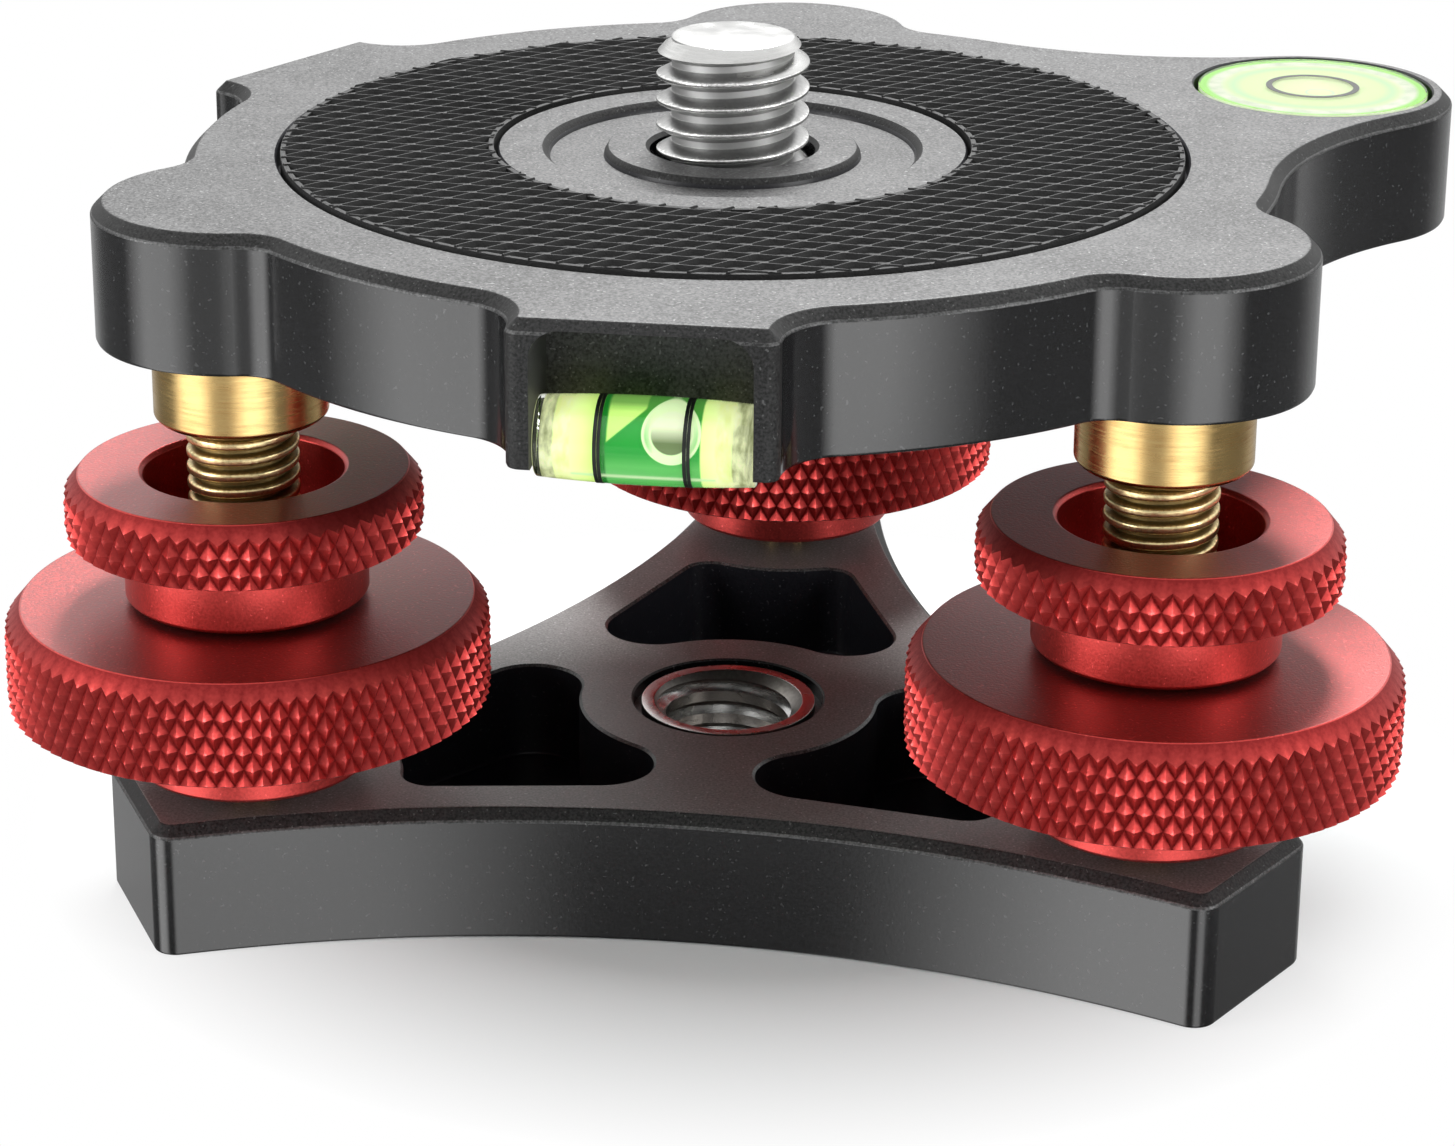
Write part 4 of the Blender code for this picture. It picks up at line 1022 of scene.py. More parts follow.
paint(screw, [steel_thread, bright_steel], screw_finish)
hand_over(moved_to(screw, AXIS), "screw", "bright_steel", "mounting_screw")

# %% [markdown]
# The bushing in the base takes the tripod's own screw, so its thread runs inside. The quickest way
# to cut an inside thread is the machinist's: make a tap, which is a threaded rod a little larger,
# and subtract it from a plain sleeve.

# %% The tripod bushing
BORE_RADIUS = 4.0 * MM
TAP_RADIUS = 4.76 * MM
TAP_ROOT = BORE_RADIUS - 0.4 * MM
CONE_RADIUS = 4.85 * MM
CONE_DEPTH = 0.9 * MM

bushing = turned("dressed_tripod_bushing", [
    (CONE_RADIUS, BUSHING_TOP),
    (FLANGE_RADIUS, BUSHING_TOP),
    (FLANGE_RADIUS, BUSHING_TOP - FLANGE_THICKNESS),
    (BUSHING_BODY_RADIUS, BUSHING_TOP - FLANGE_THICKNESS),
    (BUSHING_BODY_RADIUS, BUSHING_BOTTOM),
    (BORE_RADIUS, BUSHING_BOTTOM),
    (BORE_RADIUS, BUSHING_TOP - CONE_DEPTH),
], ease=FINE_EASE)
worked(bushing, threaded_rod(
    "tap", TAP_ROOT, TAP_RADIUS, SCREW_PITCH, BUSHING_BOTTOM, BUSHING_TOP,
    BUSHING_TOP - SCREW_PITCH, socket_thread_painted_shade,
))
mark_depth(bushing, lambda place: (BORE_RADIUS - place.xy.length) / (BORE_RADIUS - TAP_RADIUS))
paint(bushing, [socket_thread_painted_shade, bright_steel], lambda centre, normal: int(abs(normal.z) > 0.9))
hand_over(moved_to(bushing, AXIS), "base", "bright_steel", "tripod_bushing")

# %% [markdown]
# Diamond knurling is rolled into the rim by two crossing wheels. It leaves small pyramids in a
# checkerboard. The tree starts from a cylinder with two columns for each diamond: every second
# point keeps the full radius and the others sink. Cutting each quad along its shorter diagonal
# follows the grooves, so the pyramids come out with four clean faces.

# %% A tree for diamond knurls
def knurl_tree():
    """A rod covered in pyramids, a checkerboard of high and low points."""
    tree, given = new_tree(
        "diamond_knurl", Float="radius depth row_height", Int="diamonds rows top_row",
        Material="finish",
    )
    columns = given.diamonds * 2.0
    tall = given.rows * given.row_height
    drum = put(tree, "GeometryNodeMeshCylinder", {
        "Vertices": columns, "Side Segments": given.rows, "Radius": 1.0, "Depth": tall,
    })
    x, y, z = put(tree, "GeometryNodeInputPosition").parts()
    column = (y.maths("ARCTAN2", x) * (columns / math.tau)).maths("ROUND")
    height = z + tall * 0.5
    row = (height / given.row_height).maths("ROUND")
    low = (column + row).maths("FLOORED_MODULO", 2.0)
    radius = given.radius - low * row.maths("LESS_THAN", given.top_row + 0.5) * given.depth
    place = put(tree, "ShaderNodeCombineXYZ", {"X": x * radius, "Y": y * radius, "Z": height})
    shaped = put(tree, "GeometryNodeSetPosition", {"Geometry": drum, "Position": place})
    return ended(tree, cut_into_triangles(tree, shaped), given.finish)


KNURL_TREE = knurl_tree()
KNURL_DEPTH = 0.45 * MM
KNURL_ROW = 1.06 * MM
KNURL_OVER = 0.03 * MM
KNURL_REACH = KNURL_DEPTH + 0.15 * MM


def knurled(blank, radius, diamonds, bottom, top, first_row):
    """A blank with knurling rolled into everything near its full radius."""
    steps_down = math.ceil((first_row - bottom) / KNURL_ROW) + 1
    drum = grown(
        "drum", KNURL_TREE, radius=radius + KNURL_OVER, depth=KNURL_DEPTH, diamonds=diamonds,
        rows=math.ceil((top - bottom) / KNURL_ROW) + 3, row_height=KNURL_ROW, top_row=steps_down,
        finish=red_knurl,
    )
    worked(blank, moved_to(drum, (0, 0), first_row - steps_down * KNURL_ROW), "INTERSECT")
    mark_depth(blank, lambda place: (radius - place.xy.length) / KNURL_DEPTH)
    return blank


print("the knurl is", KNURL_DEPTH / MM, "mm deep in rows of", KNURL_ROW / MM, "mm")

# %% [markdown]
# A height dial is a wide nut: a knurled rim, a conical crown that leads up to the satin top face,
# and a plain hub below. The crown is turned after the knurl, so its lower edge runs in a zigzag.
# The lock ring above it is the same idea at a smaller size, with a counterbore so that it can rise
# round the brass boss. One of each is made and copied to the other legs with a little turn, as no
# two start alike.

# %% Height dials and lock rings
EDGE = 0.25 * MM
HUB_RADIUS = 7.4 * MM
START_TURN = 0.37
STUD_BORE = 3.7 * MM
PIN_HOLE = 2.5 * MM
DIAL_BOTTOM, DIAL_TOP = heights("height_dial_left")
WEB_BOTTOM = DIAL_BOTTOM + 0.7 * MM
WEB_TOP = WEB_BOTTOM + 1.0 * MM
RING_BOTTOM, RING_TOP = heights("lock_ring_left")
RING_COUNTERBORE = 6.05 * MM
RING_FLOOR = RING_BOTTOM + 3.8 * MM


def red_finish(radius):
    """Knurl near the full radius on faces that stand up, a darker top that is painted shade, satin
    elsewhere.
    """
    def pick(centre, normal):
        # faces that look up get the darker red, which is painted shade
        if normal.z > 0.95:
            return 2
        return int(centre.xy.length > radius - KNURL_REACH and abs(normal.z) < 0.8)
    return pick


def copies(master, kind, body, slot):
    """The finished piece at each leg, turned a little further each time, with its place in its mesh."""
    for index, (leg, place) in enumerate(LEGS.items()):
        copy = linked(f"dressed_{kind}_{leg}", master.data.copy())
        moved(copy, Matrix.Translation((*place, 0)) @ Matrix.Rotation(START_TURN * index, 4, "Z"))
        hand_over(copy, body.format(leg), slot, f"{kind}_{leg}")
    bpy.data.objects.remove(master)


def red_wheels(kind, body, inside, mouth, diamonds, crown, rim_lift):
    """A knurled wheel for each leg; inside is the rest of its profile, up the bore to its mouth."""
    crown_width, crown_height = crown
    radius = radius_of(kind + "_left")
    bottom, top = heights(kind + "_left")
    rim = bottom + rim_lift
    blank = turned(kind, [
        (mouth, top),
        (radius - crown_width, top),
        (radius, top - crown_height),
        (radius, rim + EDGE),
        (radius - 1.6 * EDGE, rim),
        (HUB_RADIUS, rim),
        (HUB_RADIUS, bottom + EDGE),
        (HUB_RADIUS - EDGE, bottom),
        *inside,
    ], around=4 * diamonds, ease=FINE_EASE)
    wheel = knurled(blank, radius, diamonds, bottom, top, top - crown_height + EDGE)
    paint(wheel, [red_face, red_knurl, red_top_painted_shade], red_finish(radius))
    copies(wheel, kind, body, "red_anodised")


red_wheels("height_dial", "dial_{}", [
    (STUD_BORE, DIAL_BOTTOM),
    (STUD_BORE, WEB_BOTTOM),
    (PIN_HOLE, WEB_BOTTOM),
    (PIN_HOLE, WEB_TOP),
    (STUD_BORE, WEB_TOP),
    (STUD_BORE, DIAL_TOP - 0.3 * MM),
], mouth=STUD_BORE + 0.3 * MM, diamonds=84, crown=(1.0 * MM, 1.2 * MM), rim_lift=4.35 * MM)
red_wheels("lock_ring", "ring_{}", [
    (STUD_BORE, RING_BOTTOM),
    (STUD_BORE, RING_FLOOR),
    (RING_COUNTERBORE, RING_FLOOR),
    (RING_COUNTERBORE, RING_TOP - EDGE),
], mouth=RING_COUNTERBORE + EDGE, diamonds=56, crown=(0.9 * MM, 1.1 * MM), rim_lift=4.05 * MM)

# %% [markdown]
# Inside each dial turns the leveling stud, an M7 rod of aged brass with a 1 mm pitch. It shows
# between the ring and the boss. The boss itself is bright turned brass, and a ball-ended pin
# below carries the dial on the base.

# %% Studs, bosses, pins and socket plugs
STUD_BOTTOM, STUD_TOP = heights("leveling_stud_left")
STUD_RADIUS = radius_of("leveling_stud_left")
STUD_ROOT = 2.86 * MM
STUD_PITCH = 1.0 * MM
STUD_TIP = 0.5 * MM
BOSS_BOTTOM, BOSS_CROWN = heights("stud_boss_left")
BOSS_RADIUS = radius_of("stud_boss_left")
BOSS_SHOULDER = PLATE_BOTTOM - 0.06 * MM
BOSS_CHAMFER = 0.30 * MM
BOSS_MOUTH = 0.2 * MM
BOSS_ROOF = BOSS_CROWN - 1.0 * MM
SPIGOT_RADIUS = 4.6 * MM
PIN_BOTTOM, PIN_TOP = heights("pivot_pin_left")
PIN_NECK = 1.9 * MM
PIN_RADIUS = 2.2 * MM
PIN_FLANGE_RADIUS = 3.4 * MM
PIN_FLANGE_TOP = WEB_BOTTOM - 0.06 * MM
PIN_FLANGE_BOTTOM = PIN_FLANGE_TOP - 0.84 * MM
BALL_RADIUS = 3.2 * MM
PIVOT_HEIGHT = PIN_BOTTOM + BALL_RADIUS
CAP_BOTTOM, CAP_TOP = heights("socket_cap_left")
CAP_RADIUS = radius_of("socket_cap_left")
CAP_CUP = CAP_RADIUS - 1.2 * MM
CAP_FLOOR = PIVOT_HEIGHT - BALL_RADIUS - 0.3 * MM
SLOT_HALF_LENGTH = 3.0 * MM
SLOT_HALF_WIDTH = 0.45 * MM
SLOT_ROOF = CAP_BOTTOM + 0.8 * MM

stud = threaded_rod(
    "stud", STUD_ROOT, STUD_RADIUS, STUD_PITCH, STUD_BOTTOM, STUD_TOP, BOSS_BOTTOM, olive_thread,
    steps=48, shares=ROLLED_SHARES,
)
worked(stud, turned("stud_blank", [
    (0, STUD_TOP),
    (STUD_RADIUS - STUD_TIP, STUD_TOP),
    (STUD_RADIUS, STUD_TOP - STUD_TIP),
    (STUD_RADIUS, STUD_BOTTOM + STUD_TIP),
    (STUD_RADIUS - STUD_TIP, STUD_BOTTOM),
    (0, STUD_BOTTOM),
]), "INTERSECT")
mark_depth(stud, lambda place: (STUD_RADIUS - place.xy.length) / (STUD_RADIUS - STUD_ROOT))
copies(paint(stud, [olive_thread]), "leveling_stud", "platform", "olive_brass")

boss = turned("boss", [
    (0, BOSS_CROWN),
    (SPIGOT_RADIUS, BOSS_CROWN),
    (SPIGOT_RADIUS, BOSS_SHOULDER),
    (BOSS_RADIUS, BOSS_SHOULDER),
    (BOSS_RADIUS, BOSS_BOTTOM + BOSS_CHAMFER),
    (BOSS_RADIUS - BOSS_CHAMFER, BOSS_BOTTOM),
    (STUD_RADIUS + BOSS_MOUTH, BOSS_BOTTOM),
    (STUD_RADIUS + FIT, BOSS_BOTTOM + BOSS_MOUTH),
    (STUD_RADIUS + FIT, BOSS_ROOF),
    (0, BOSS_ROOF),
], around=128)
copies(paint(boss, [bright_brass]), "stud_boss", "platform", "bright_brass")

neck_angle = math.asin(PIN_NECK / BALL_RADIUS)
angles = [neck_angle + (math.pi - neck_angle) * step / 16 for step in range(16)]
pin = turned("pin", [
    (0, PIN_TOP),
    (PIN_RADIUS, PIN_TOP),
    (PIN_RADIUS, PIN_FLANGE_TOP),
    (PIN_FLANGE_RADIUS, PIN_FLANGE_TOP),
    (PIN_FLANGE_RADIUS, PIN_FLANGE_BOTTOM),
    (PIN_NECK, PIN_FLANGE_BOTTOM),
    *((BALL_RADIUS * math.sin(a), PIVOT_HEIGHT + BALL_RADIUS * math.cos(a)) for a in angles),
    (0, PIN_BOTTOM),
], ease=0.05 * MM)
copies(paint(pin, [bright_brass]), "pivot_pin", "leg_{}", "bright_brass")

cap = turned("cap", [
    (0, CAP_FLOOR),
    (CAP_CUP, CAP_FLOOR),
    (CAP_CUP, CAP_TOP),
    (CAP_RADIUS, CAP_TOP),
    (CAP_RADIUS, CAP_BOTTOM),
    (0, CAP_BOTTOM),
])
slot_ends = [(Vector((side * SLOT_HALF_LENGTH, 0)), SLOT_HALF_WIDTH, 1) for side in (-1, 1)]
worked(cap, stacked("slot", slot_ends, [(CAP_BOTTOM - OVERRUN, 0), (SLOT_ROOF, 0)]))
copies(paint(cap, [spring_steel]), "socket_cap", "base", "spring_steel")

# %% [markdown]
# The top plate is the showpiece: three leg lobes, a long lobe for the round vial, and two square
# bosses for the tube vials, all flowing into one rim. It is the same belt as in the packed
# model with finer steps, and then the same cuts.

# %% The outline of the top plate
BODY_RADIUS = LEG_CIRCLE + 2.0 * MM
LOBE_RADIUS = 8.45 * MM
LOBE_BLEND = 2.8 * MM
LENS_PLACE = middle("bullseye_lens").xy - AXIS
LENS_RADIUS = radius_of("bullseye_lens")
LENS_AZIMUTH = math.atan2(LENS_PLACE.y, LENS_PLACE.x)
LENS_BORE = LENS_RADIUS + 0.3 * MM
LENS_LOBE = LENS_BORE + 1.3 * MM
LENS_BLEND = 0.74 * BODY_RADIUS
VIAL_AZIMUTHS = {"front": math.radians(270), "side": math.radians(152.3)}
VIAL_REACH = BODY_RADIUS + 3.1 * MM
VIAL_HALF_WIDTH = 7.45 * MM
VIAL_CORNER = 0.8 * MM
VIAL_BLEND = 4.0 * MM


def lobe_circles(azimuth, reach, radius, blend):
    """A round lobe with a hollow blend on each side of it."""
    body_reach = BODY_RADIUS + blend
    lobe_reach = radius + blend
    lean = (body_reach ** 2 + reach ** 2 - lobe_reach ** 2) / (2 * body_reach * reach)
    side = math.acos(lean)
    return [
        (point_at(body_reach, azimuth - side), blend, -1),
        (point_at(reach, azimuth), radius, 1),
        (point_at(body_reach, azimuth + side), blend, -1),
    ]


def vial_boss_circles(azimuth):
    """A straight-faced boss, with a root blend and a corner on each side."""
    along = VIAL_REACH - VIAL_CORNER
    across = VIAL_HALF_WIDTH - VIAL_CORNER
    root_across = VIAL_HALF_WIDTH + VIAL_BLEND
    root_along = math.sqrt((BODY_RADIUS + VIAL_BLEND) ** 2 - root_across ** 2)
    turn = Matrix.Rotation(azimuth, 2)
    return [
        (turn @ Vector((root_along, -root_across)), VIAL_BLEND, -1),
        (turn @ Vector((along, -across)), VIAL_CORNER, 1),
        (turn @ Vector((along, across)), VIAL_CORNER, 1),
        (turn @ Vector((root_along, root_across)), VIAL_BLEND, -1),
    ]


def plate_circles():
    """All the features round the rim, in order of their azimuth, with the round body between."""
    features = [
        (azimuth % math.tau, lobe_circles(azimuth, LEG_CIRCLE, LOBE_RADIUS, LOBE_BLEND))
        for azimuth in AZIMUTHS.values()
    ]
    lens_lobe = lobe_circles(LENS_AZIMUTH, LENS_PLACE.length, LENS_LOBE, LENS_BLEND)
    features.append((LENS_AZIMUTH, lens_lobe))
    features += [(azimuth, vial_boss_circles(azimuth)) for azimuth in VIAL_AZIMUTHS.values()]
    circles = []
    for _, feature in sorted(features, key=lambda item: item[0]):
        circles += [*feature, (Vector((0, 0)), BODY_RADIUS, 1)]
    return circles


plate = plate_blank("dressed_top_plate", plate_circles(), PLATE_BOTTOM, PLATE_TOP)
print("the plate's rim has", len(belt(plate_circles())), "points")

# %% [markdown]
# Turned tools cut the recess for the pad, the stepped island round the screw and the stepped bore
# for its head. Each mouth gets a small bevel, because a milled edge is always broken.

# %% Round cuts in the top plate
PAD_RECESS_RADIUS = BODY_RADIUS - 5.65 * MM
RECESS_FLOOR = PLATE_TOP - 1.5 * MM
ISLAND_RADIUS = 14.55 * MM
STEP_RADIUS = 11.8 * MM
STEP_FLOOR = PLATE_TOP - 0.6 * MM
STEP_RUN = 0.5 * MM
COLLAR_RADIUS = 8.0 * MM
COLLAR_TAPER = 0.25 * MM
COLLAR_TOP = STEP_FLOOR + 0.6 * MM
SCREW_HOLE = 5.15 * MM
HEAD_ROOF = HEAD_TOP + 0.3 * MM
HEAD_BORE = HEAD_RADIUS + 0.3 * MM
GROOVE_RADIUS = HEAD_RADIUS + 0.6 * MM
GROOVE_BOTTOM = PLATE_BOTTOM + 0.4 * MM
BOSS_BORE = SPIGOT_RADIUS + 0.06 * MM
LENS_BOTTOM, LENS_TOP = heights("bullseye_lens")
LENS_FLOOR = heights("bullseye_backing")[0] - 0.3 * MM
above, below = PLATE_TOP + OVERRUN, PLATE_BOTTOM - OVERRUN


def cut_by(name, finish, profile, around=128):
    """A turned cutting tool that leaves a finish on what it cuts, apart from flats that face up."""
    def leaves(centre, normal):
        """The tool's own normals point into the metal, so its underside cuts the flats."""
        if normal.z < -0.99 and centre.z > RECESS_FLOOR + 0.1 * MM:
            return FACE
        # The foot of the step's walls gets the darker pocket black: painted shade where wall meets
        # floor.
        low_wall_painted_shade = centre.z < STEP_FLOOR + 0.2 * MM and abs(normal.z) < 0.7
        return POCKET if finish == CHAMFER and low_wall_painted_shade else finish
    return paint(turned(name, profile, around=around, ease=0), FINISHES, leaves)


worked(plate, cut_by("pad_recess", POCKET, [
    (ISLAND_RADIUS - OVERRUN, above),
    (PAD_RECESS_RADIUS + OVERRUN, above),
    (PAD_RECESS_RADIUS, PLATE_TOP - MOUTH_BEVEL),
    (PAD_RECESS_RADIUS, RECESS_FLOOR),
    (ISLAND_RADIUS, RECESS_FLOOR),
    (ISLAND_RADIUS, PLATE_TOP - MOUTH_BEVEL),
], around=256))
worked(plate, cut_by("island_step", CHAMFER, [
    (0, above),
    (STEP_RADIUS, above),
    (STEP_RADIUS, PLATE_TOP),
    (STEP_RADIUS - 0.8 * STEP_RUN, STEP_FLOOR + 0.26 * MM),
    (STEP_RADIUS - STEP_RUN, STEP_FLOOR),
    (COLLAR_RADIUS, STEP_FLOOR),
    (COLLAR_RADIUS - 0.06 * MM, STEP_FLOOR + 0.24 * MM),
    (COLLAR_RADIUS - COLLAR_TAPER, COLLAR_TOP - 0.04 * MM),
    (COLLAR_RADIUS - COLLAR_TAPER - 0.06 * MM, COLLAR_TOP),
    (0, COLLAR_TOP),
], around=160))
worked(plate, cut_by("screw_bore", WALL, [
    (0, above),
    (SCREW_HOLE + OVERRUN, above),
    (SCREW_HOLE + 0.25 * MM, COLLAR_TOP),
    (SCREW_HOLE, COLLAR_TOP - 0.25 * MM),
    (SCREW_HOLE, HEAD_ROOF),
    (HEAD_BORE, HEAD_ROOF),
    (HEAD_BORE, SCREW_BOTTOM),
    (GROOVE_RADIUS, SCREW_BOTTOM),
    (GROOVE_RADIUS, GROOVE_BOTTOM),
    (HEAD_BORE, GROOVE_BOTTOM),
    (HEAD_BORE, PLATE_BOTTOM + 0.15 * MM),
    (HEAD_BORE + OVERRUN, below),
    (0, below),
]))
for place in LEGS.values():
    bore = turned("boss_bore", band(0, BOSS_BORE, BOSS_CROWN + 0.3 * MM, below), ease=0)
    worked(plate, moved_to(bore, place - AXIS))
worked(plate, moved_to(cut_by("lens_bore", POCKET, [
    (0, above),
    (LENS_BORE + OVERRUN, above),
    (LENS_BORE, PLATE_TOP - MOUTH_BEVEL),
    (LENS_BORE, LENS_FLOOR),
    (0, LENS_FLOOR),
]), LENS_PLACE))
print("round cuts done:", len(plate.data.polygons), "faces")

# %% [markdown]
# Each tube vial lies in an arched pocket that is open to the front and below. The arch is a belt
# too, drawn lying down, then stood up and turned to face outwards.

# %% Vial pockets
ARCH_HALF_WIDTH = 6.05 * MM
ARCH_TOP = PLATE_TOP - PLATE_BOTTOM - 0.55 * MM
ARCH_CORNER = 1.6 * MM
ARCH_FOOT = 0.05 * MM
VIAL_RADIUS = 2.45 * MM
VIAL_SETBACK = 0.15 * MM
VIAL_FACE_DEPTH = 2 * MM
ARCH_DEPTH = VIAL_SETBACK + 2 * VIAL_RADIUS + 0.3 * MM
ARCH_LIP = 0.1 * MM
ARCH_FLARE = 0.2 * MM

arch_circles = [
    (Vector((side * (ARCH_HALF_WIDTH - corner), height)), corner, 1)
    for side, corner, height in (
        (-1, ARCH_FOOT, -OVERRUN),
        (1, ARCH_FOOT, -OVERRUN),
        (1, ARCH_CORNER, ARCH_TOP - ARCH_CORNER),
        (-1, ARCH_CORNER, ARCH_TOP - ARCH_CORNER),
    )
]
for azimuth in VIAL_AZIMUTHS.values():
    arch = stacked("arch", arch_circles, [
        (-ARCH_DEPTH, 0),
        (-ARCH_LIP, 0),
        (OVERRUN, ARCH_FLARE),
    ])
    stand = Matrix.Rotation(azimuth + math.pi / 2, 4, "Z") @ Matrix.Rotation(math.pi / 2, 4, "X")
    outward = point_at(VIAL_REACH, azimuth)
    moved(arch, Matrix.Translation((*outward, PLATE_BOTTOM)) @ stand)
    worked(plate, paint(arch, FINISHES, lambda centre, normal: ARCH))


def plate_finish(centre, normal):
    """What the rim gets, with the matt finish of the chamfer on the faces of the vial bosses."""
    chosen = rim_finish(PLATE_TOP, FACE)(centre, normal)
    for azimuth in VIAL_AZIMUTHS.values():
        across, along = Matrix.Rotation(math.pi / 2 - azimuth, 2) @ centre.xy
        if chosen == WALL and along > VIAL_REACH - VIAL_FACE_DEPTH and abs(across) < VIAL_HALF_WIDTH:
            return CHAMFER
    return chosen


paint(plate, FINISHES, plate_finish)
hand_over(moved_to(plate, AXIS), "platform", "black_anodised", "top_plate")

# %% [markdown]
# The pad is moulded rubber. Two sets of thin ridges cross at a narrow angle and leave flat rhombs
# between them. The tree lays a grid with four lines for each ridge: two carry the crest and two
# the feet. It then leans the grid over and thickens it into a slab.

# %% A tree for the ribbed pad
def rib_tree():
    """A slab whose top is a net of crossing ridges."""
    tree, given = new_tree(
        "crossed_ribs", Int="cells", Material="finish",
        Float="side first_angle second_angle crest_share foot_share height lower_height thickness "
        "outer_radius inner_radius",
    )
    lines = given.cells * 4.0
    points = lines + 1.0
    span = put(tree, "GeometryNodeMeshGrid", {
        "Size X": lines, "Size Y": lines, "Vertices X": points, "Vertices Y": points,
    })
    spot_x, spot_y, _ = put(tree, "GeometryNodeInputPosition").parts()

    def across(line):
        """How far along a line lies, and whether it is on a crest."""
        count = line.maths("ROUND")
        cell = ((count + 0.5) / 4.0).maths("FLOOR")
        part = count - cell * 4.0
        low_side, high_side, low_foot, high_foot = (
            part.maths("COMPARE", float(number), 0.1) for number in range(4)
        )
        half_foot = given.foot_share * 0.5
        place = given.crest_share * 0.5 * (high_side - low_side) + half_foot * low_foot
        far = (1.0 - half_foot) * high_foot
        return (cell + (place + far)) * given.side, low_side + high_side

    along, first_crest = across(spot_x)
    aside, second_crest = across(spot_y)
    first, second = given.first_angle, given.second_angle
    place = put(tree, "ShaderNodeCombineXYZ", {
        "X": along * first.maths("COSINE") + aside * second.maths("COSINE"),
        "Y": along * first.maths("SINE") + aside * second.maths("SINE"),
        "Z": (first_crest * given.lower_height).maths("MAXIMUM", second_crest * given.height),
    })
    net = put(tree, "GeometryNodeSetPosition", {"Geometry": span, "Position": place})
    reach = distance(spot_x, spot_y)
    spare = given.side * 1.5
    too_far = reach.maths("GREATER_THAN", given.outer_radius + spare)
    too_near = reach.maths("LESS_THAN", given.inner_radius - spare)
    near = put(tree, "GeometryNodeDeleteGeometry", {
        "Geometry": net, "Selection": too_far.maths("MAXIMUM", too_near),
    }, domain="FACE")
    top = cut_into_triangles(tree, near)
    lift = put(tree, "ShaderNodeCombineXYZ", {"Z": given.thickness})
    under = put(tree, "GeometryNodeFlipFaces", {"Mesh": top})
    over = put(tree, "GeometryNodeExtrudeMesh", {"Mesh": top, "Offset": lift, "Individual": False})
    both = put(tree, "GeometryNodeJoinGeometry", {"Geometry": [over, under]})
    shut = put(tree, "GeometryNodeMergeByDistance", {"Geometry": both, "Distance": 0.001 * MM})
    return ended(tree, shut, given.finish)


RIB_TREE = rib_tree()
print("the tree of the pad has", len(RIB_TREE.nodes), "nodes")

# %% [markdown]
# The slab of ridges stands a little over the plate. It is trimmed to a ring, which cuts its rim
# ragged, and two plain black borders hold the ends of the ridges.

# %% The rubber pad
PAD_BOTTOM, PAD_TOP = heights("rubber_pad")
PAD_OUTER = PAD_RECESS_RADIUS - 0.3 * MM
PAD_INNER = ISLAND_RADIUS + 0.3 * MM
RIB_HEIGHT = 0.34 * MM
RIB_SIDE = 1.85 * MM
SLAB = 3.0 * MM
BORDER = 0.28 * MM
BORDER_TOP = PAD_TOP - 0.12 * MM

pad = grown(
    "dressed_rubber_pad", RIB_TREE, cells=44, side=RIB_SIDE, first_angle=math.radians(-6.2),
    second_angle=math.radians(50.7), crest_share=0.05, foot_share=0.24, height=0.92 * RIB_HEIGHT,
    lower_height=RIB_HEIGHT, thickness=SLAB, outer_radius=PAD_OUTER, inner_radius=PAD_INNER,
    finish=black_rubber,
)
moved_to(pad, (0, 0), PAD_TOP - RIB_HEIGHT - SLAB)
pad_ring = band(PAD_INNER, PAD_OUTER, PAD_TOP + OVERRUN, PAD_BOTTOM)
worked(pad, turned("pad_ring", pad_ring, around=256, ease=0), "INTERSECT")
for inner, outer in ((PAD_OUTER - BORDER, PAD_OUTER + FIT), (PAD_INNER - FIT, PAD_INNER + BORDER)):
    ring = band(inner, outer, BORDER_TOP, PAD_BOTTOM + FIT)
    border = turned("border", ring, around=192, ease=0.04 * MM)
    worked(pad, paint(border, [black_rubber, rubber_side], lambda centre, normal: 1), "UNION")
print("the pad stands", round((PAD_TOP - PLATE_TOP) / MM, 2), "mm over the plate")
mark_depth(pad, lambda place: (PAD_TOP - place.z) / RIB_HEIGHT)
paint(pad, [black_rubber, rubber_side], lambda centre, normal: int(abs(normal.z) < 0.2))
hand_over(moved_to(pad, AXIS), "platform", "black_rubber", "rubber_pad")

# %% [markdown]
# A tube vial is a clear barrel, a little crowned, around a core of dyed fluid. Clear plastic
# magnifies a core until it fills the barrel, so the core is drawn inside the solid barrel and its
# finish carries what shows there: plugs, dye and bubble, with painted reflections, refraction and
# shade. Two pairs of black rings mark the middle.

# %% Tube vials
CORE_RADIUS = 2.12 * MM
CORE_HALF_LENGTH = 5.6 * MM
BARREL_HALF_LENGTH = 6.01 * MM
BARREL_END_RADIUS = 2.24 * MM
MARK_OFFSET = 2.43 * MM
MARK_LINES = ((-0.115 * MM, 0.21 * MM), (0.10 * MM, 0.19 * MM))
INK_DEPTH, INK_RISE = 0.05 * MM, 0.02 * MM


def crown(share):
    """A point on the crowned side of the barrel, at a share of its half length."""
    return (VIAL_RADIUS - (VIAL_RADIUS - BARREL_END_RADIUS) * share ** 2, BARREL_HALF_LENGTH * share)


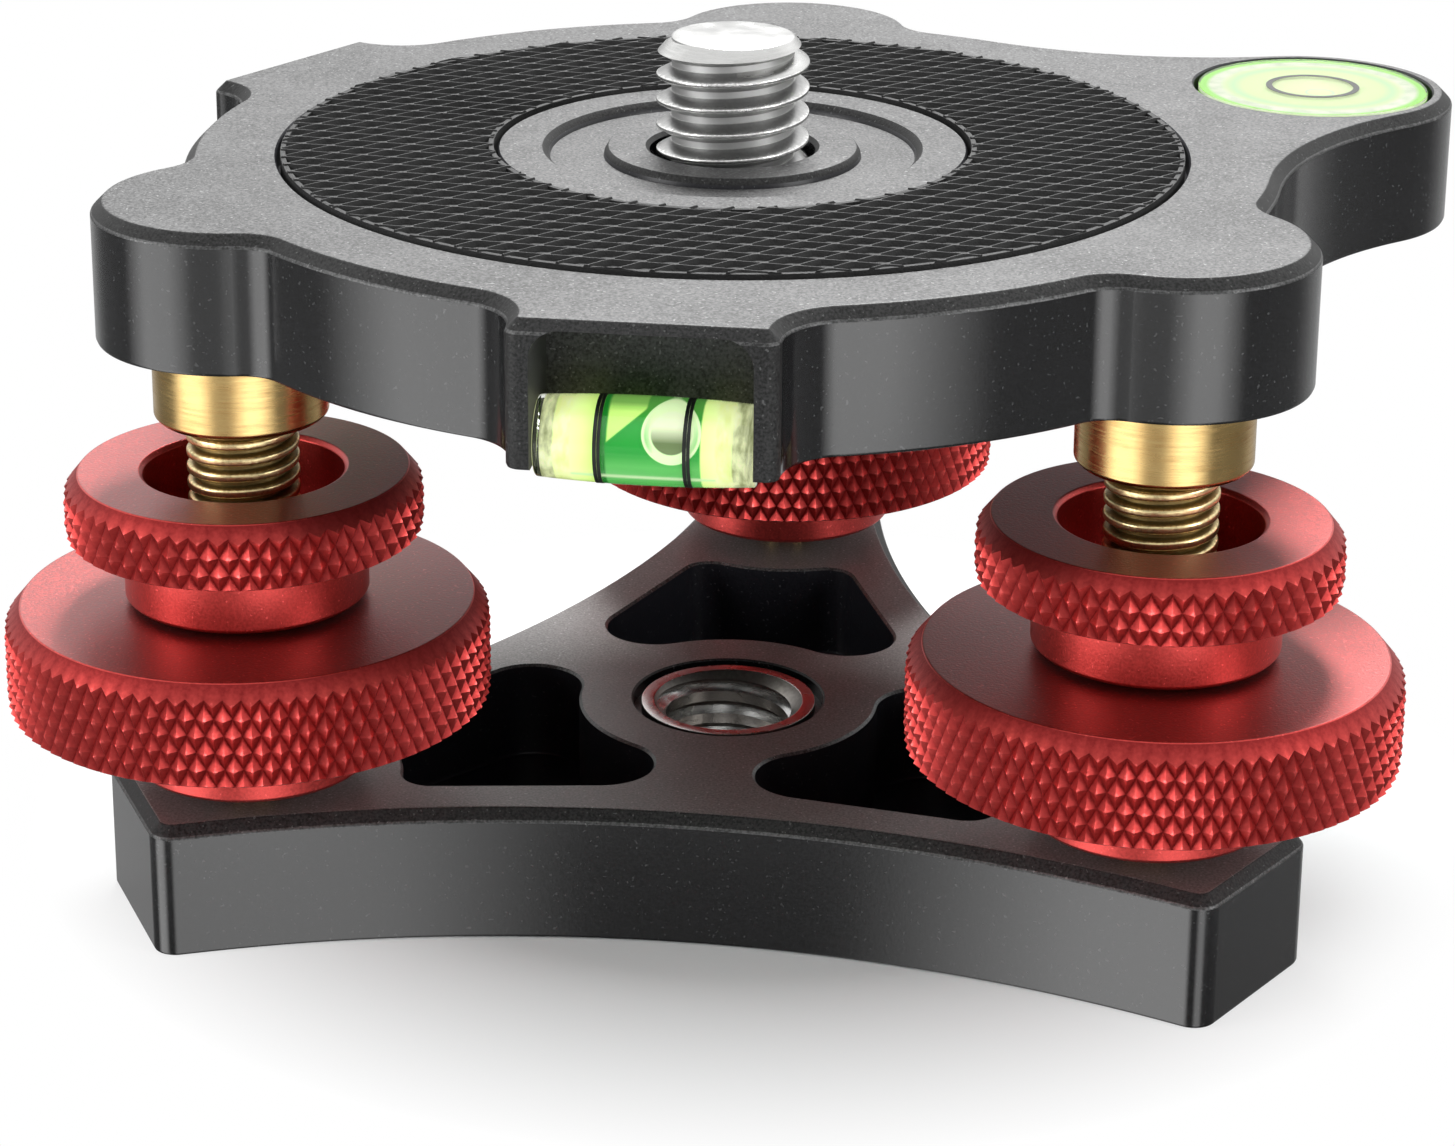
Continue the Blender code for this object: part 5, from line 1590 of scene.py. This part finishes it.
for side, azimuth in VIAL_AZIMUTHS.items():
    lay = (
        Matrix.Translation(middle(side + "_vial_tube")) @ Matrix.Rotation(azimuth, 4, "Z")
        @ Matrix.Rotation(-math.pi / 2, 4, "X")
    )
    barrel = turned(side + "_vial_barrel", [
        (0, BARREL_HALF_LENGTH),
        *(crown(1 - 0.2 * step) for step in range(11)),
        (0, -BARREL_HALF_LENGTH),
    ], around=64, ease=0.16 * MM)
    paint(moved(barrel, lay), [acrylic])
    hand_over(barrel, "platform", "clear_acrylic", side + "_vial_tube", side + "_vial_plug")

    core = band(0, CORE_RADIUS, CORE_HALF_LENGTH, -CORE_HALF_LENGTH)
    fluid = turned(side + "_vial_core", core, around=64)
    mark_places(fluid)
    paint(moved(fluid, lay), [tube_fluids[side]])
    hand_over(fluid, "platform", "vial_fluid", side + "_vial_fluid")

    radius = crown(MARK_OFFSET / BARREL_HALF_LENGTH)[0]
    for end, name in ((-1, "left"), (1, "right")):
        for index, (shift, width) in enumerate(MARK_LINES):
            top = end * MARK_OFFSET + shift + width / 2
            line = band(radius - INK_DEPTH, radius + INK_RISE, top, top - width)
            mark = turned(f"{side}_vial_mark_{name}_{index}", line, around=64, ease=0)
            hand_over(paint(moved(mark, lay), [black_ink]), "platform", "black_rubber")
print("two tube vials made")

# %% [markdown]
# The round vial is a clear disc let into the long lobe. The pale dye fills it nearly to the rim,
# where it turns green, and a thin ring is printed for the bubble to sit in.

# %% The bullseye vial
RING_MARK_OUTER = 3.05 * MM
RING_MARK_INNER = 2.65 * MM
DYE_RADIUS = LENS_RADIUS - 0.12 * MM
DYE_TOP = LENS_TOP - 0.45 * MM
DYE_BOTTOM = LENS_BOTTOM + 0.1 * MM
lens_spot = AXIS + LENS_PLACE

lens = turned("bullseye_cup", band(0, LENS_RADIUS, LENS_TOP, LENS_BOTTOM), around=128)
paint(moved_to(lens, lens_spot), [acrylic])
hand_over(lens, "platform", "clear_acrylic", "bullseye_lens")

dye_rings = (0, 1.4 * MM, 4.2 * MM, 5.4 * MM, 6.4 * MM, DYE_RADIUS)
dye = turned("bullseye_dye", [
    *((radius, DYE_TOP) for radius in dye_rings), (DYE_RADIUS, DYE_BOTTOM), (0, DYE_BOTTOM),
], around=128, ease=0.05 * MM)
mark_places(dye)
paint(moved_to(dye, lens_spot), [bullseye_fluid])
hand_over(dye, "platform", "vial_fluid", "bullseye_fluid")

line = band(RING_MARK_INNER, RING_MARK_OUTER, LENS_TOP + 0.015 * MM, LENS_TOP - 0.03 * MM)
mark = moved_to(turned("bullseye_ring_mark", line, around=96, ease=0), lens_spot)
hand_over(paint(mark, [black_ink]), "platform", "black_rubber")

# %% [markdown]
# A few small pieces keep their packed shape, because they sit deep inside: the plastic ball seats,
# the clips on the pins, the disc behind the round vial and the ring that holds the screw. They
# still get a real finish, since a leaning plate or a low view can show them.

# %% Finishes for the pieces that stay
kept = {"bullseye_backing": white_acetal, "screw_retaining_ring": spring_steel}
for leg in LEGS:
    kept["ball_seat_" + leg] = white_acetal
    kept["pin_clip_" + leg] = spring_steel
for node, finish in kept.items():
    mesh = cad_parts[node].data
    mesh.materials.clear()
    mesh.materials.append(finish)
print("packed pieces that got a finish:", len(kept))

# %% [markdown]
# The camera stood low in front, a little to the right, and looked slightly down. Its place was
# worked out from the circles of the dials and the plate in the photograph. The frame is wider
# below the object than above it, which a lens shift reproduces.

# %% The camera
PHOTO_WIDTH, PHOTO_HEIGHT = 1455, 1146
FOCAL_PIXELS = 3727.8
PRINCIPAL_X, PRINCIPAL_Y = 709.9, 335.5
SENSOR = 36.0
YAW, PITCH, ROLL = -0.13604, 0.31657, 0.005953
CAMERA_PLACE = Vector((AXIS.x + 28.992 * MM, AXIS.y - 221.614 * MM, 106.447 * MM))

camera_data = bpy.data.cameras.new("camera")
camera_data.sensor_width = SENSOR
camera_data.lens = FOCAL_PIXELS * SENSOR / PHOTO_WIDTH
camera_data.shift_x = (PHOTO_WIDTH / 2 - PRINCIPAL_X) / PHOTO_WIDTH
camera_data.shift_y = (PRINCIPAL_Y - PHOTO_HEIGHT / 2) / PHOTO_WIDTH
camera_data.clip_start, camera_data.clip_end = 0.01, 20
forward = Vector((
    math.sin(YAW) * math.cos(PITCH), math.cos(YAW) * math.cos(PITCH), -math.sin(PITCH)
))
level_right = Vector((math.cos(YAW), -math.sin(YAW), 0))
right = level_right * math.cos(ROLL) + level_right.cross(forward) * math.sin(ROLL)
look = Matrix((right, right.cross(forward), -forward)).transposed().to_4x4()
camera = linked("camera", camera_data)
camera.matrix_world = Matrix.Translation(CAMERA_PLACE) @ look
bpy.context.scene.camera = camera
print("camera lens", round(camera_data.lens, 2), "mm, shift", round(camera_data.shift_y, 3))

# %% [markdown]
# The world is white to the camera but dim for plain light. Shiny surfaces see soft panels of light
# in it, each (azimuth, half width, soft edge, strength) with angles in degrees from the front. The
# pairs below are heights in the sky, from -1 straight down to 1 straight up.

# %% The world of the studio
LOW_PANELS = ((-53, 11, 20, 2.4), (31, 9, 22, 2.6), (-14, 14, 16, 0.5), (180, 42, 22, 0.3))
FOOT_PANELS = ((-50, 12, 18, 2.8), (22, 8, 14, 1.9), (180, 42, 22, 0.3))
HIGH_PANELS = ((180, 70, 30, 0.9),)
DARK = 0.16
DUSK = 0.55
PLAIN_LIGHT = 0.40
UNDERNEATH, FOOT_EDGE = (-0.8, -0.55), (-0.43, -0.37)
HORIZON, CLIMB, OVERHEAD = (-0.05, 0.05), (0.05, 0.45), (0.35, 0.8)


def ray(tree, kind):
    """One where the light path is of this kind, zero elsewhere."""
    return put(tree, "ShaderNodeLightPath", out=f"Is {kind} Ray")


def seen(tree):
    """One where the camera looks straight at a thing or through clear plastic."""
    return ray(tree, "Camera").maths("MAXIMUM", ray(tree, "Transmission"))


def white_light(tree, kind, strength):
    """Plain white light from a background or a surface."""
    return put(tree, "ShaderNode" + kind, {"Color": (1, 1, 1), "Strength": strength})


def panels(azimuth, table, dim):
    """How bright the studio looks in a shiny surface: dim, with soft panels at certain azimuths."""
    bright = dim
    for place, half, soft, strength in table:
        aside = abs((azimuth - math.radians(place)).maths("WRAP", math.pi, -math.pi))
        bright = aside.ramp(math.radians(half), math.radians(half + soft), strength, 0.0) + bright
    return bright


def studio_world():
    """White to the camera, dim to plain light, and soft panels in reflections."""
    world = bpy.data.worlds.new("studio")
    bpy.context.scene.world = world
    world.use_nodes = True
    tree = world.node_tree
    tree.nodes.clear()
    x, y, z = put(tree, "ShaderNodeTexCoord", out="Generated").parts()
    azimuth = x.maths("ARCTAN2", y * -1.0)
    foot = z.ramp(*FOOT_EDGE, 1.0, 0.0)
    low = foot.blend(panels(azimuth, LOW_PANELS, DARK), panels(azimuth, FOOT_PANELS, DARK))
    low = low * z.ramp(*UNDERNEATH, 0.25, 1.0)
    high = panels(azimuth, HIGH_PANELS, DUSK) * z.ramp(*CLIMB, 0.4, 1.0)
    glint = z.ramp(*OVERHEAD).blend(z.ramp(*HORIZON).blend(low, high), 1.0)
    plain, shiny, white = (
        white_light(tree, "Background", strength) for strength in (PLAIN_LIGHT, glint, 1.0)
    )
    unseen = ray(tree, "Glossy").choose(plain, shiny)
    put(tree, "ShaderNodeOutputWorld", {"Surface": seen(tree).choose(unseen, white)})


studio_world()
print("studio world with", len(LOW_PANELS + FOOT_PANELS + HIGH_PANELS), "soft panels")

# %% [markdown]
# The floor keeps the soft shadow near the object and turns to pure white further out. A large soft
# lamp hangs behind and above, and a smaller one stands on each side.

# %% The floor and the lamps
FLOOR_RADIUS = 3.0
FLOOR_GAP = 0.05 * MM
FLOOR_MIRROR = 0.95
FLOOR_FADE = (27 * MM, 48 * MM)
AIM = Vector((0, 0, 0.025))
LAMPS = {
    "overhead": ((0.0, 0.42, 0.60), (0.26, 0.22), 7.9),
    "left_panel": ((-0.55, -0.30, 0.22), (0.3, 0.4), 1.8),
    "right_panel": ((0.585, -0.25, 0.22), (0.25, 0.4), 1.7),
}


def studio_floor():
    """A round pale floor that fades to white away from the object."""
    made, tree, shader = fresh_material("studio_floor")
    x, y, _ = put(tree, "ShaderNodeTexCoord", out="Object").parts()
    tone = grain(tree, 30 * MM).ramp(0.3, 0.7, 0.93, 0.94)
    pale = put(tree, "ShaderNodeCombineColor", {0: tone * 0.965, 1: tone, 2: tone})
    set_shader(shader, Base_Color=pale, Roughness=0.8, Specular_IOR_Level=0.1)
    far = distance(x, y).ramp(*FLOOR_FADE) * seen(tree)
    lit = far.choose(Wire(shader.outputs[0]), white_light(tree, "Emission", 1.0))
    mirror = ray(tree, "Glossy") * FLOOR_MIRROR
    final = mirror.choose(lit, put(tree, "ShaderNodeBsdfTransparent"))
    fill(tree.nodes["Material Output"].inputs["Surface"], final)
    disc = bmesh.new()
    bmesh.ops.create_circle(disc, cap_ends=True, segments=96, radius=FLOOR_RADIUS)
    mesh = bpy.data.meshes.new("studio_floor")
    disc.to_mesh(mesh)
    disc.free()
    mesh.materials.append(made)
    floor = linked("studio_floor", mesh)
    floor.location.z = BASE_BOTTOM - FLOOR_GAP


studio_floor()
for name, (place, size, power) in LAMPS.items():
    light = bpy.data.lights.new(name, "AREA")
    light.shape = "RECTANGLE"
    light.size, light.size_y = size
    light.energy = power
    lamp = linked(name, light)
    lamp.location = place
    lamp.rotation_euler = (AIM - Vector(place)).to_track_quat("-Z", "Y").to_euler()
bpy.context.scene.view_settings.view_transform = "Standard"
print("studio with", len(LAMPS), "lamps")

# %% [markdown] Last, the end.

# %% The end
print("the end")
